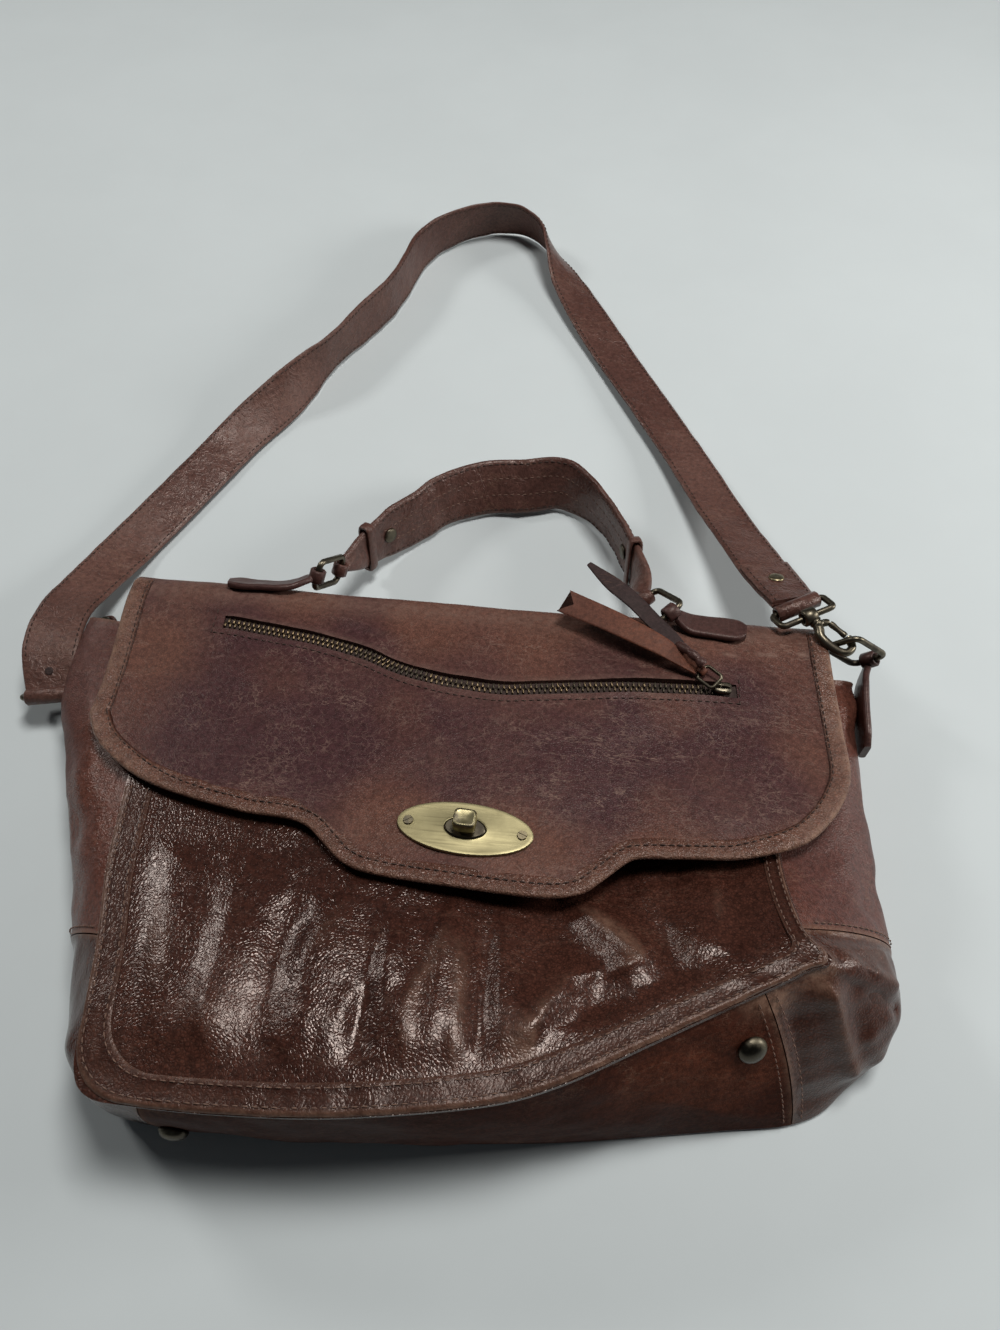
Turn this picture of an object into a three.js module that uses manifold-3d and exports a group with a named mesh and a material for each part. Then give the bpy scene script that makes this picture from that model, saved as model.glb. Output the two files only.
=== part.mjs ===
import * as THREE from "three";
import { mergeVertices } from "three/addons/utils/BufferGeometryUtils.js";
import Module from "manifold-3d";

// A worn leather satchel that lies on its back.
// X runs across the bag, Y towards the handle and Z up from the table. Sizes are in millimetres.
// The origin is on the table, under the middle of the back panel.

const wasm = await Module();
wasm.setup();

// Leather and clearances
const LEATHER = 2.0;
const FLAP_LEATHER = 2.4;
const STRAP_LEATHER = 2.6;
const GAP = 0.3;
const SEAT = LEATHER + GAP;
const EDGE_DROP = LEATHER + 1;
const SEAM = 0.35;

// Flap
const FLAP_HALF = 184.5;
const FLAP_FRONT_Y = 110;
const FLAP_FRONT_Z = 50.5;
const FLAP_SLOPE = 0.106;
const FLAP_DROOP = 5;
const FLAP_SAG = 4.5;
const BINDING_WIDTH = 9;
const BINDING_THICK = 1.2;
const ZIP_SLOT = 8;
const TAPE_THICK = 0.8;
const TAPE_DEPTH = 1.3;
const TEETH_WIDTH = 4;
const TEETH_HIGH = 1.5;

// Turn lock
const LOCK_X = 7.3;
const LOCK_Y = -10.7;
const LOCK_TURN = -3;
const PLATE_LONG = 62;
const PLATE_WIDE = 26;
const PLATE_THICK = 1.5;
const SLOT_LONG = 19;
const SLOT_WIDE = 11;
const BASE_THICK = 1.9;
const POST_RADIUS = 3.5;
const POST_HIGH = 3.4;
const KNOB_LONG = 10.4;
const KNOB_WIDE = 9.2;
const KNOB_HIGH = 6.4;
const SCREW_SPACING = 51.8;

// Metal
const WIRE = 1.7;
const BORE = WIRE + 0.7;
const LOOP_WALL = 2;
const HOOK_WIRE = 2.1;
const HOOK_EYE = 5.2;
const HOOK_LENGTH = 27.5;
const GATE_WIRE = 1.6;
const FOOT_RADIUS = 6.5;
const RIVET_RADIUS = 4.5;

// Straps
const STRAP_WIDTH = 30;
const STRAP_END_WIDTH = 25;
const STRAP_RING_HALF = 15.3;
const HANDLE_RING_HALF = 8;
const HANDLE_LOOP_WIDTH = 7.5;

const Z_UP = new THREE.Vector3(0, 0, 1);

function table(columns, rows) {
  return rows.map((row) => Object.fromEntries(columns.map((name, i) => [name, row[i]])));
}

// Sections round the sides and bottom, from the top left corner to the top right corner.
// b is on the back panel, m is half way up the wall and f is on the front panel's edge.
const SECTIONS = table(
  ["bx", "by", "mx", "my", "mz", "fx", "fy", "fz"],
  [
    [-182, 110, -215, 107, 30, -168, 98, 40],
    [-178, 62, -214, 62, 32, -164, 60, 47],
    [-172, 8, -196, 8, 32, -157, 9, 52],
    [-165, -38, -179, -34, 32, -151, -38, 58],
    [-157, -72, -167, -68, 32, -143, -72, 63],
    [-150, -102, -157, -97, 34, -138, -101, 66],
    [-143, -126, -147, -121, 38, -135, -125, 66],
    [-129, -136, -131, -136, 38, -126, -136, 67],
    [-108, -137, -108, -140, 38, -106, -138, 68],
    [-72, -137, -72, -141, 38, -70, -138, 71],
    [-30, -135, -30, -139, 38, -26, -135, 73],
    [34, -130, 32, -132, 38, 27, -126, 74],
    [68, -126, 63, -124, 38, 56, -116, 75],
    [104, -120, 97, -112, 39, 86, -100, 76],
    [134, -115, 124, -103, 40, 110, -87, 77],
    [162, -110, 152, -93, 40, 136, -73, 77],
    [180, -100, 180, -82, 36, 152, -64, 78],
    [190, -82, 203, -66, 34, 163, -58, 77],
    [194, -45, 201, -37, 36, 153, -44, 73],
    [193, 0, 199, 4, 32, 150, -2, 53],
    [190, 60, 198, 64, 29, 155, 55, 47],
    [186, 110, 200, 107, 27, 162, 98, 41],
  ],
);
const SIDE_SEAM_LEFT = 4;
const CORNER_LEFT = 6.6;
const END_SEAM_LEFT = 8;
const END_SEAM_RIGHT = 15;
const CORNER_RIGHT = 17;
const SIDE_SEAM_RIGHT = 18;
const LAST_SECTION = SECTIONS.length - 1;

// Folds of the front panel, each a soft ridge from one point to another.
const FOLDS = table(
  ["x0", "y0", "x1", "y1", "spread", "high"],
  [
    [-88, -44, -84, -112, 11, 2.6],
    [-50, -46, -46, -112, 10, 3.2],
    [-18, -48, -14, -112, 8, 3.0],
    [6, -50, 6, -112, 7, 3.6],
    [30, -46, 30, -104, 7, 3.4],
    [58, -40, 84, -66, 8, 4.2],
    [42, -104, 62, -78, 7, 3.2],
    [90, -24, 112, -62, 8, 3.6],
    [124, -16, 134, -50, 8, 2.6],
    [-122, -30, -112, -104, 11, 2.0],
  ],
);
const PANEL_BULGE = 3;
const PANEL_HOLLOW = 11;

// The flap's turn over the top of the bag, from the back panel up and forward.
const FLAP_TURN = table(
  ["y", "z"],
  [
    [124, SEAT + 0.1],
    [128.5, 11],
    [131.5, 23],
    [131.8, 34],
    [129, 42.5],
    [122, 47.5],
    [FLAP_FRONT_Y, FLAP_FRONT_Z],
  ],
);

// The flap's lower edge, from the left side to the right side.
const FLAP_EDGE = table(
  ["x", "y"],
  [
    [-184.5, 37],
    [-174, 21],
    [-154, 6.5],
    [-132, -2.4],
    [-97, -10],
    [-68, -13],
    [-54, -23],
    [-46, -30],
    [-32, -35],
    [4, -37.6],
    [43, -39],
    [60, -35.7],
    [69, -28.7],
    [79.5, -19],
    [86, -16],
    [110, -13.6],
    [132, -11],
    [158.5, -1.3],
    [173.5, 13],
    [183, 29.7],
    [185.5, 41],
  ],
);

// The zip pocket's middle line.
const ZIP_LINE = table(
  ["x", "y"],
  [
    [-134, 99],
    [-81, 92],
    [-55, 85.5],
    [-37, 77],
    [-12, 71],
    [15, 69],
    [47, 74],
    [79, 78],
    [130, 81],
  ],
);

// Centre lines of the bands. Lean turns a band about its own length: 0 lies flat and 90 stands on edge.
const BAND_COLUMNS = ["x", "y", "z", "lean", "width"];
const HANDLE_LINE = table(BAND_COLUMNS, [
  [-81, 159, 28, 60, 8],
  [-72, 177.5, 23, 82, 27],
  [-60, 194, 19.5, 76, 33],
  [-46, 209, 17.5, 70, 33],
  [-33, 223, 17, 64, 33],
  [-9, 236, 15.5, 52, 33],
  [14, 240, 15, 47, 33],
  [36, 243, 16.5, 60, 33],
  [53, 232, 18, 80, 33],
  [66, 217, 18.5, 90, 33],
  [76, 200, 19, 90, 33],
  [81, 184, 22, 88, 30],
  [85, 164, 31, 74, 22],
  [87, 148, 37.5, 14, 5.5],
]);
const STRAP_LINE = table(BAND_COLUMNS, [
  [-228, 69, 22.5, 6, STRAP_END_WIDTH],
  [-232, 89, 28, 5, STRAP_WIDTH],
  [-234, 115, 25, 5, STRAP_WIDTH],
  [-230, 145, 14, 7, STRAP_WIDTH],
  [-221, 176, 6.5, 10, STRAP_WIDTH],
  [-206, 208, 6, 12, STRAP_WIDTH],
  [-188, 246, 6.5, 15, STRAP_WIDTH],
  [-173, 276, 8, 22, STRAP_WIDTH],
  [-154.5, 302.5, 12, 44, STRAP_WIDTH],
  [-140, 325.5, 15.5, 72, STRAP_WIDTH],
  [-127, 349, 16.5, 91, STRAP_WIDTH],
  [-111, 379, 16.5, 86, STRAP_WIDTH],
  [-97, 407, 16.5, 85, STRAP_WIDTH],
  [-89, 433, 16.5, 85, STRAP_WIDTH],
  [-82, 461, 16.5, 85, STRAP_WIDTH],
  [-69, 484, 16.5, 88, STRAP_WIDTH],
  [-48.5, 501, 16.5, 94, STRAP_WIDTH],
  [-27, 508.5, 16.5, 100, STRAP_WIDTH],
  [-6.5, 505, 16.5, 104, STRAP_WIDTH],
  [9, 489.7, 15.5, 107, STRAP_WIDTH],
  [19.3, 471, 12.8, 131, STRAP_WIDTH],
  [31.4, 446, 7.5, 160, STRAP_WIDTH],
  [47.4, 412.7, 5, 172, STRAP_WIDTH],
  [70, 370.5, 4.5, 174, STRAP_WIDTH],
  [93, 327, 5, 172, STRAP_WIDTH],
  [112, 290, 6, 170, STRAP_WIDTH],
  [129, 250, 11, 170, STRAP_WIDTH],
  [143.5, 211.5, 20, 172, STRAP_WIDTH],
  [156, 174.5, 32, 176, STRAP_WIDTH],
  [166, 142, 47, 178, STRAP_END_WIDTH],
]);
const TASSEL_FRONT_LINE = table(BAND_COLUMNS, [
  [112, 91, 56.5, 4, 8],
  [102, 94.6, 59.2, 0, 9.5],
  [94, 99.2, 60.2, -3, 11],
  [73.5, 110.6, 59, -6, 13],
  [44, 126, 55, -10, 14],
]);
const TASSEL_BACK_LINE = table(BAND_COLUMNS, [
  [107.5, 97, 56.6, 6, 7],
  [101.5, 104.7, 57, 8, 8.5],
  [92, 115, 57, 6, 9.5],
  [81.5, 127, 56.5, 4, 9.5],
  [68.5, 139.5, 56, 3, 9],
  [55.8, 151.7, 55, 2, 3],
]);

// Chain points: where each leather loop or hook holds a ring.
const HANDLE_LOOP_LEFT = new THREE.Vector3(-84, 153.5, 31);
const HANDLE_LOOP_RIGHT = new THREE.Vector3(88, 140.5, 43);
const TAB_LOOP_LEFT = new THREE.Vector3(-92, 137.5, 44.5);
const TAB_LOOP_RIGHT = new THREE.Vector3(100, 124, 54.8);
const STRAP_LOOP_RIGHT = new THREE.Vector3(167.5, 138, 49.5);
const HOOK_ROOT_RIGHT = new THREE.Vector3(172, 128.8, 54);
const SIDE_LOOP_RIGHT = new THREE.Vector3(208, 117.5, 35);
const STRAP_LOOP_LEFT = new THREE.Vector3(-227, 62.5, 20);
const HOOK_ROOT_LEFT = new THREE.Vector3(-228, 71, 10.5);
const SIDE_LOOP_LEFT = new THREE.Vector3(-213.5, 116.5, 11.5);
const HOOK_HEADING_RIGHT = new THREE.Vector3(23, -19.5, -3).normalize();
const HOOK_HEADING_LEFT = new THREE.Vector3(0.1, 0.99, 0).normalize();

// Smooth curve through one column of a table, with t counted in rows.
function column(rows, name, t) {
  const last = rows.length - 1;
  const i = Math.max(0, Math.min(Math.floor(t), last - 1));
  const f = t - i;
  const at = (k) => rows[Math.max(0, Math.min(last, k))][name];
  const [a, b, c, d] = [at(i - 1), at(i), at(i + 1), at(i + 2)];
  return b + 0.5 * f * (c - a + f * (2 * a - 5 * b + 4 * c - d + f * (3 * (b - c) + d - a)));
}

// Straight lines between the rows of a table, read by x.
function lookUp(rows, keyName, valueName, key) {
  const rising = rows[rows.length - 1][keyName] > rows[0][keyName];
  const list = rising ? rows : [...rows].reverse();
  if (key <= list[0][keyName]) return list[0][valueName];
  for (let i = 1; i < list.length; i += 1) {
    if (key <= list[i][keyName]) {
      const share = (key - list[i - 1][keyName]) / (list[i][keyName] - list[i - 1][keyName]);
      return list[i - 1][valueName] + share * (list[i][valueName] - list[i - 1][valueName]);
    }
  }
  return list[list.length - 1][valueName];
}

function point(rows, t, names = ["x", "y", "z"]) {
  return new THREE.Vector3(...names.map((name) => column(rows, name, t)));
}

function smoothStep(value) {
  const share = Math.max(0, Math.min(1, value));
  return share * share * (3 - 2 * share);
}

// A closed geometry with its faces pointing out, from a list of points and triangles.
function closedGeometry(points, triangles) {
  let volume = 0;
  const cross = new THREE.Vector3();
  for (const [a, b, c] of triangles) {
    volume += points[a].dot(cross.crossVectors(points[b], points[c]));
  }
  const facing = volume < 0 ? triangles.map(([a, b, c]) => [a, c, b]) : triangles;
  const geometry = new THREE.BufferGeometry();
  const values = points.flatMap((p) => [p.x, p.y, p.z]);
  geometry.setAttribute("position", new THREE.Float32BufferAttribute(values, 3));
  geometry.setIndex(facing.flat());
  return geometry;
}

// A wall between two grids of points of the same size. keep says which cells are there.
function wall(front, back, keep = () => true) {
  const rows = front.length - 1;
  const columns = front[0].length - 1;
  const points = [];
  const triangles = [];
  const numbers = new Map();
  const there = (i, j) => i >= 0 && j >= 0 && i < rows && j < columns && keep(i, j);
  const number = (side, i, j) => {
    const key = `${side}:${i}:${j}`;
    if (!numbers.has(key)) {
      numbers.set(key, points.length);
      points.push((side === 0 ? front : back)[i][j]);
    }
    return numbers.get(key);
  };
  const quad = (a, b, c, d) => {
    triangles.push([a, b, c], [a, c, d]);
  };
  for (let i = 0; i < rows; i += 1) {
    for (let j = 0; j < columns; j += 1) {
      if (!there(i, j)) continue;
      const corners = [
        [i, j],
        [i + 1, j],
        [i + 1, j + 1],
        [i, j + 1],
      ];
      const near = corners.map(([r, c]) => number(0, r, c));
      const far = corners.map(([r, c]) => number(1, r, c));
      quad(...near);
      quad(far[0], far[3], far[2], far[1]);
      const beside = [
        [i, j - 1],
        [i + 1, j],
        [i, j + 1],
        [i - 1, j],
      ];
      beside.forEach(([r, c], side) => {
        if (there(r, c)) return;
        const next = (side + 1) % 4;
        quad(near[next], near[side], far[side], far[next]);
      });
    }
  }
  return closedGeometry(points, triangles);
}

// Unit normals of a grid of points.
function gridNormals(grid) {
  const rows = grid.length;
  const columns = grid[0].length;
  return grid.map((line, i) =>
    line.map((_, j) => {
      const down = grid[Math.min(rows - 1, i + 1)][j].clone().sub(grid[Math.max(0, i - 1)][j]);
      const along = line[Math.min(columns - 1, j + 1)].clone().sub(line[Math.max(0, j - 1)]);
      return down.cross(along).normalize();
    }),
  );
}

// The grid moved along its normals.
function shifted(grid, normals, distance) {
  return grid.map((line, i) => line.map((p, j) => p.clone().addScaledVector(normals[i][j], distance)));
}

function grid(rows, columns, place) {
  return Array.from({ length: rows + 1 }, (_, i) =>
    Array.from({ length: columns + 1 }, (_, j) => place(i / rows, j / columns)),
  );
}

// Closed solids for adding and cutting.
function toSolid(geometry) {
  const bare = geometry.clone();
  bare.deleteAttribute("normal");
  bare.deleteAttribute("uv");
  const merged = mergeVertices(bare, 1e-4);
  return new wasm.Manifold(
    new wasm.Mesh({
      numProp: 3,
      vertProperties: Float32Array.from(merged.attributes.position.array),
      triVerts: Uint32Array.from(merged.index.array),
    }),
  );
}

function toGeometry(solid) {
  const mesh = solid.getMesh();
  const geometry = new THREE.BufferGeometry();
  const positions = new Float32Array(mesh.numVert * 3);
  for (let i = 0; i < mesh.numVert; i += 1) {
    for (let k = 0; k < 3; k += 1) positions[i * 3 + k] = mesh.vertProperties[i * mesh.numProp + k];
  }
  geometry.setAttribute("position", new THREE.BufferAttribute(positions, 3));
  geometry.setIndex(Array.from(mesh.triVerts));
  return geometry;
}

function joined(...geometries) {
  return toGeometry(geometries.map(toSolid).reduce((a, b) => a.add(b)));
}

// Turns a geometry made along Y so that it lies along an axis at a place.
function laid(geometry, axis, place) {
  const turn = new THREE.Quaternion().setFromUnitVectors(new THREE.Vector3(0, 1, 0), axis);
  return geometry.applyQuaternion(turn).translate(place.x, place.y, place.z);
}

// A short hollow sleeve: the leather or metal loop that goes round a ring's bar.
function sleeve(place, axis, length, inner = BORE, outer = BORE + LOOP_WALL) {
  const half = length / 2;
  const profile = [
    [inner, -half],
    [outer, -half],
    [outer, half],
    [inner, half],
    [inner, -half],
  ].map(([r, y]) => new THREE.Vector2(r, y));
  return laid(new THREE.LatheGeometry(profile, 10), axis, place);
}

// A round bar along a curve.
function bar(points, radius, steps, sides = 8) {
  const shape = new THREE.Shape();
  for (let k = 0; k < sides; k += 1) {
    const angle = (2 * Math.PI * k) / sides;
    const [x, y] = [radius * Math.cos(angle), radius * Math.sin(angle)];
    if (k === 0) shape.moveTo(x, y);
    else shape.lineTo(x, y);
  }
  shape.closePath();
  const path = points.length === 2 ? new THREE.LineCurve3(...points) : new THREE.CatmullRomCurve3(points);
  return new THREE.ExtrudeGeometry(shape, { steps, extrudePath: path, bevelEnabled: false });
}

// A flat ring with two straight bars, which pass through the points a and b, and rounded corners.
function ovalRing(a, b, side, halfWidth, wire = WIRE) {
  const middle = a.clone().add(b).multiplyScalar(0.5);
  const along = b.clone().sub(a);
  const halfLength = along.length() / 2;
  along.normalize();
  const across = side.clone().addScaledVector(along, -side.dot(along)).normalize();
  const normal = along.clone().cross(across);
  const corner = 0.45 * Math.min(halfLength, halfWidth);
  const perCorner = 4;
  const sides = 6;
  const points = [];
  const triangles = [];
  const around = 4 * perCorner;
  for (let k = 0; k < around; k += 1) {
    const quarter = Math.floor(k / perCorner);
    const angle = (Math.PI / 2) * (quarter + (k % perCorner) / (perCorner - 1));
    const [alongSide, acrossSide] = [quarter === 0 || quarter === 3 ? 1 : -1, quarter < 2 ? 1 : -1];
    const outward = along.clone().multiplyScalar(Math.cos(angle)).addScaledVector(across, Math.sin(angle));
    const place = middle
      .clone()
      .addScaledVector(along, alongSide * (halfLength - corner))
      .addScaledVector(across, acrossSide * (halfWidth - corner))
      .addScaledVector(outward, corner);
    for (let m = 0; m < sides; m += 1) {
      const turn = (2 * Math.PI * m) / sides;
      points.push(
        place
          .clone()
          .addScaledVector(outward, wire * Math.cos(turn))
          .addScaledVector(normal, wire * Math.sin(turn)),
      );
      const [k2, m2] = [(k + 1) % around, (m + 1) % sides];
      const [p, q] = [k * sides + m, k2 * sides + m];
      const [r, s] = [k2 * sides + m2, k * sides + m2];
      triangles.push([p, q, r], [p, r, s]);
    }
  }
  return { geometry: closedGeometry(points, triangles), across };
}

// A leather band of rectangular section along a centre line.
function band(rows, thickness, steps, notch = 0) {
  const last = rows.length - 1;
  const front = [];
  const back = [];
  for (let k = 0; k <= steps; k += 1) {
    const t = (last * k) / steps;
    const centre = point(rows, t);
    const heading = point(rows, Math.min(last, t + 0.2)).sub(point(rows, Math.max(0, t - 0.2))).normalize();
    const level = Z_UP.clone().cross(heading).normalize();
    const rise = heading.clone().cross(level).normalize();
    const lean = THREE.MathUtils.degToRad(column(rows, "lean", t));
    const across = level.multiplyScalar(Math.cos(lean)).addScaledVector(rise, Math.sin(lean));
    const face = heading.clone().cross(across).normalize();
    const half = column(rows, "width", t) / 2;
    const lanes = notch > 0 ? [-1, 0, 1] : [-1, 1];
    const line = lanes.map((lane) => {
      const p = centre.clone().addScaledVector(across, half * lane);
      if (k === steps && lane === 0) p.addScaledVector(heading, -notch);
      return p;
    });
    front.push(line.map((p) => p.clone().addScaledVector(face, thickness / 2)));
    back.push(line.map((p) => p.clone().addScaledVector(face, -thickness / 2)));
  }
  return wall(front, back);
}

// The same centre line with its first or last row moved to the leather loop that it ends in.
function endingAt(rows, loop, last, reach = BORE + 1.4) {
  const list = [...rows];
  const spot = last ? list.length - 1 : 0;
  const beside = list[last ? spot - 1 : 1];
  const away = new THREE.Vector3(beside.x, beside.y, beside.z).sub(loop).normalize();
  const { x, y, z } = loop.clone().addScaledVector(away, reach);
  list[spot] = { ...list[spot], x, y, z };
  return list;
}

// Body of the bag

function bodyPoint(t, s) {
  const b = point(SECTIONS, t, ["bx", "by", "by"]).setZ(SEAT);
  const m = point(SECTIONS, t, ["mx", "my", "mz"]);
  const f = point(SECTIONS, t, ["fx", "fy", "fz"]);
  f.z -= EDGE_DROP;
  const handle = m.multiplyScalar(2).addScaledVector(b, -0.5).addScaledVector(f, -0.5);
  return b
    .multiplyScalar((1 - s) ** 2)
    .addScaledVector(handle, 2 * s * (1 - s))
    .addScaledVector(f, s * s);
}

function bodyNormal(t, s) {
  const step = 0.02;
  const along = bodyPoint(Math.min(LAST_SECTION, t + step), s).sub(bodyPoint(Math.max(0, t - step), s));
  const up = bodyPoint(t, Math.min(1, s + step)).sub(bodyPoint(t, Math.max(0, s - step)));
  return along.cross(up).normalize();
}

function bodySheet(t0, t1, tSteps, sSteps) {
  const outer = grid(sSteps, tSteps, (s, share) => bodyPoint(t0 + (t1 - t0) * share, s));
  const inner = grid(sSteps, tSteps, (s, share) => {
    const t = t0 + (t1 - t0) * share;
    const normal = bodyNormal(t, s);
    if (s === 0) normal.setZ(0).normalize();
    return bodyPoint(t, s).addScaledVector(normal, -LEATHER);
  });
  return wall(outer, inner);
}

function backPanel() {
  const shape = new THREE.Shape();
  shape.moveTo(-188, 128);
  for (let k = 0; k <= 2 * LAST_SECTION; k += 1) {
    shape.lineTo(column(SECTIONS, "bx", k / 2), column(SECTIONS, "by", k / 2));
  }
  shape.lineTo(186, 128);
  shape.closePath();
  return new THREE.ExtrudeGeometry(shape, { depth: LEATHER, bevelEnabled: false });
}

function frontEdge(t) {
  return point(SECTIONS, t, ["fx", "fy", "fz"]);
}

// Even spacing by length along the front edge between two sections.
function evenSpacing(t0, t1) {
  const count = 60;
  const lengths = [0];
  for (let k = 1; k <= count; k += 1) {
    const a = frontEdge(t0 + ((t1 - t0) * (k - 1)) / count);
    const b = frontEdge(t0 + ((t1 - t0) * k) / count);
    lengths.push(lengths[k - 1] + a.distanceTo(b));
  }
  return (share) => {
    const want = share * lengths[count];
    let k = 1;
    while (k < count && lengths[k] < want) k += 1;
    const part = (want - lengths[k - 1]) / (lengths[k] - lengths[k - 1]);
    return t0 + ((t1 - t0) * (k - 1 + part)) / count;
  };
}

const leftSpacing = evenSpacing(0, CORNER_LEFT);
const rightSpacing = evenSpacing(LAST_SECTION, CORNER_RIGHT);
const bottomSpacing = evenSpacing(CORNER_LEFT, CORNER_RIGHT);

function foldHeight(x, y) {
  return FOLDS.reduce((sum, fold) => {
    const dx = fold.x1 - fold.x0;
    const dy = fold.y1 - fold.y0;
    const share = ((x - fold.x0) * dx + (y - fold.y0) * dy) / (dx * dx + dy * dy);
    const near = Math.max(0, Math.min(1, share));
    const away = Math.hypot(x - fold.x0 - near * dx, y - fold.y0 - near * dy);
    return sum + fold.high * Math.exp(-((away / fold.spread) ** 2));
  }, 0);
}

// The front panel's outer face: u from left to right and v from the mouth to the bottom edge.
function panelPoint(u, v) {
  const left = frontEdge(leftSpacing(v));
  const right = frontEdge(rightSpacing(v));
  const bottom = frontEdge(bottomSpacing(u));
  const topLeft = frontEdge(0);
  const topRight = frontEdge(LAST_SECTION);
  const top = topLeft.clone().lerp(topRight, u);
  const bottomLeft = frontEdge(CORNER_LEFT);
  const bottomRight = frontEdge(CORNER_RIGHT);
  const corners = topLeft.clone().lerp(topRight, u).multiplyScalar(1 - v);
  corners.addScaledVector(bottomLeft.clone().lerp(bottomRight, u), v);
  const p = left.lerp(right, u);
  p.addScaledVector(top, 1 - v).addScaledVector(bottom, v).sub(corners);
  const inset = 9 * Math.min(u - 0.05, 0.95 - u, 0.94 - v, v - 0.5);
  const rise = PANEL_BULGE - PANEL_HOLLOW * smoothStep((u - 0.4) / 0.35);
  p.z += rise * Math.sin(Math.PI * u) ** 0.6 * Math.sin(Math.PI * v);
  p.z += smoothStep(inset) * foldHeight(p.x, p.y);
  return p;
}

const PANEL_LANES = [0, 0.2, 0.4, 0.5, 0.57, 0.64, 0.71, 0.78, 0.84, 0.9, 0.95, 1];

function panelGrid(columns) {
  return PANEL_LANES.map((v) => Array.from({ length: columns + 1 }, (_, j) => panelPoint(j / columns, v)));
}

function frontPanel() {
  const outer = panelGrid(28);
  const normals = gridNormals(outer);
  const facing = normals[3][10].z > 0 ? -1 : 1;
  return wall(outer, shifted(outer, normals, facing * LEATHER));
}

// The stitched strip runs down the left edge, along the bottom and up the right edge.
function borderPlace(share, inset) {
  const round = 0.07;
  const reach = 1 - inset;
  const sides = [
    [0, 0.34],
    [0.34, 0.4],
    [0.4, 0.64],
    [0.64, 0.7],
    [0.7, 1],
  ];
  const low = 1 - inset * 1.25;
  const bend = (angle) => [round * (1 - Math.cos(angle)), round * 1.25 * (1 - Math.sin(angle))];
  const part = sides.findIndex(([, end]) => share <= end);
  const [start, end] = sides[part];
  const f = (share - start) / (end - start);
  const quarter = (Math.PI / 2) * f;
  const topV = 0.42;
  const bendStart = low - round * 1.25;
  if (part === 0) return [inset, topV + (bendStart - topV) * f];
  if (part === 1) {
    const [du, dv] = bend(quarter);
    return [inset + du, low - dv];
  }
  if (part === 2) return [inset + round + (reach - inset - 2 * round) * f, low];
  if (part === 3) {
    const [du, dv] = bend(Math.PI / 2 - quarter);
    return [reach - du, low - dv];
  }
  return [reach, bendStart + (topV - bendStart) * f];
}

function frontBorder() {
  const steps = 46;
  const insets = [0.006, 0.046];
  const face = (share, inset, lift) => {
    const [u, v] = borderPlace(share, inset);
    const step = 0.004;
    const across = panelPoint(Math.min(1, u + step), v).sub(panelPoint(Math.max(0, u - step), v));
    const down = panelPoint(u, Math.min(1, v + step)).sub(panelPoint(u, Math.max(0, v - step)));
    const normal = down.cross(across).normalize();
    if (normal.z < 0) normal.negate();
    return panelPoint(u, v).addScaledVector(normal, lift);
  };
  const lift = 0.9;
  const lanes = (height) =>
    insets.map((inset) => Array.from({ length: steps + 1 }, (_, k) => face(k / steps, inset, height)));
  return wall(lanes(lift + 1.1), lanes(lift));
}

// Flap

function flapShift(y) {
  return -4 + 4.5 * smoothStep((128 - y) / 91);
}

function flapSettle(x, y) {
  const across = Math.min(1, Math.abs((x - flapShift(y)) / FLAP_HALF));
  const forward = smoothStep((125 - y) / 65);
  const sag = FLAP_SAG * Math.cos((Math.PI / 2) * across) ** 2 * (1 - forward);
  return -sag - FLAP_DROOP * across ** 3 * forward;
}

function flapHeight(x, y) {
  if (y > FLAP_FRONT_Y) return lookUp(FLAP_TURN.slice(4), "y", "z", y) + flapSettle(x, y);
  return FLAP_FRONT_Z + FLAP_SLOPE * (FLAP_FRONT_Y - y) + flapSettle(x, y);
}

function zipY(x) {
  return lookUp(ZIP_LINE, "x", "y", x);
}

const ABOVE_ZIP = 2;
const BELOW_ZIP = 5;
const ZIP_ROW = FLAP_TURN.length - 1 + ABOVE_ZIP;

// One column of flap points, from the back panel over the top and down to the lower edge.
function flapColumn(t) {
  const low = point(FLAP_EDGE, t, ["x", "y", "y"]);
  const u = (low.x - 0.5) / FLAP_HALF;
  const place = (y) => {
    const x = u * FLAP_HALF + flapShift(y);
    return new THREE.Vector3(x, y, flapHeight(x, y));
  };
  const turn = FLAP_TURN.map(({ y, z }, i) => {
    const x = u * FLAP_HALF + flapShift(y);
    const settle = (flapSettle(x, 125) * i) / (FLAP_TURN.length - 1);
    return i < 5 ? new THREE.Vector3(x, y, z + settle) : place(y);
  });
  const middle = zipY(u * FLAP_HALF - 1.5);
  const zipTop = middle + ZIP_SLOT / 2;
  const zipLow = middle - ZIP_SLOT / 2;
  const above = [1, 2].map((k) => place(FLAP_FRONT_Y + ((zipTop - FLAP_FRONT_Y) * k) / ABOVE_ZIP));
  const below = Array.from({ length: BELOW_ZIP + 1 }, (_, k) => {
    const y = zipLow + ((low.y - zipLow) * k) / BELOW_ZIP;
    return place(y);
  });
  return [...turn, ...above, ...below];
}

// A column at each row of the edge table, and one between rows that lie far apart.
const flapColumns = FLAP_EDGE.flatMap((row, i) => {
  const next = FLAP_EDGE[i + 1];
  const far = next && Math.hypot(next.x - row.x, next.y - row.y) > 22;
  return far ? [i, i + 0.5] : [i];
});
const flapLines = flapColumns.map(flapColumn);
const flapGrid = flapLines[0].map((_, i) => flapLines.map((line) => line[i]));
const zipColumns = flapLines
  .map((line, j) => ({ j, x: line[ZIP_ROW].x }))
  .filter(({ x }) => x > ZIP_LINE[0].x - 4 && x < ZIP_LINE[ZIP_LINE.length - 1].x + 6)
  .map(({ j }) => j);
const ZIP_FIRST = zipColumns[0];
const ZIP_LAST = zipColumns[zipColumns.length - 1];

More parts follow.
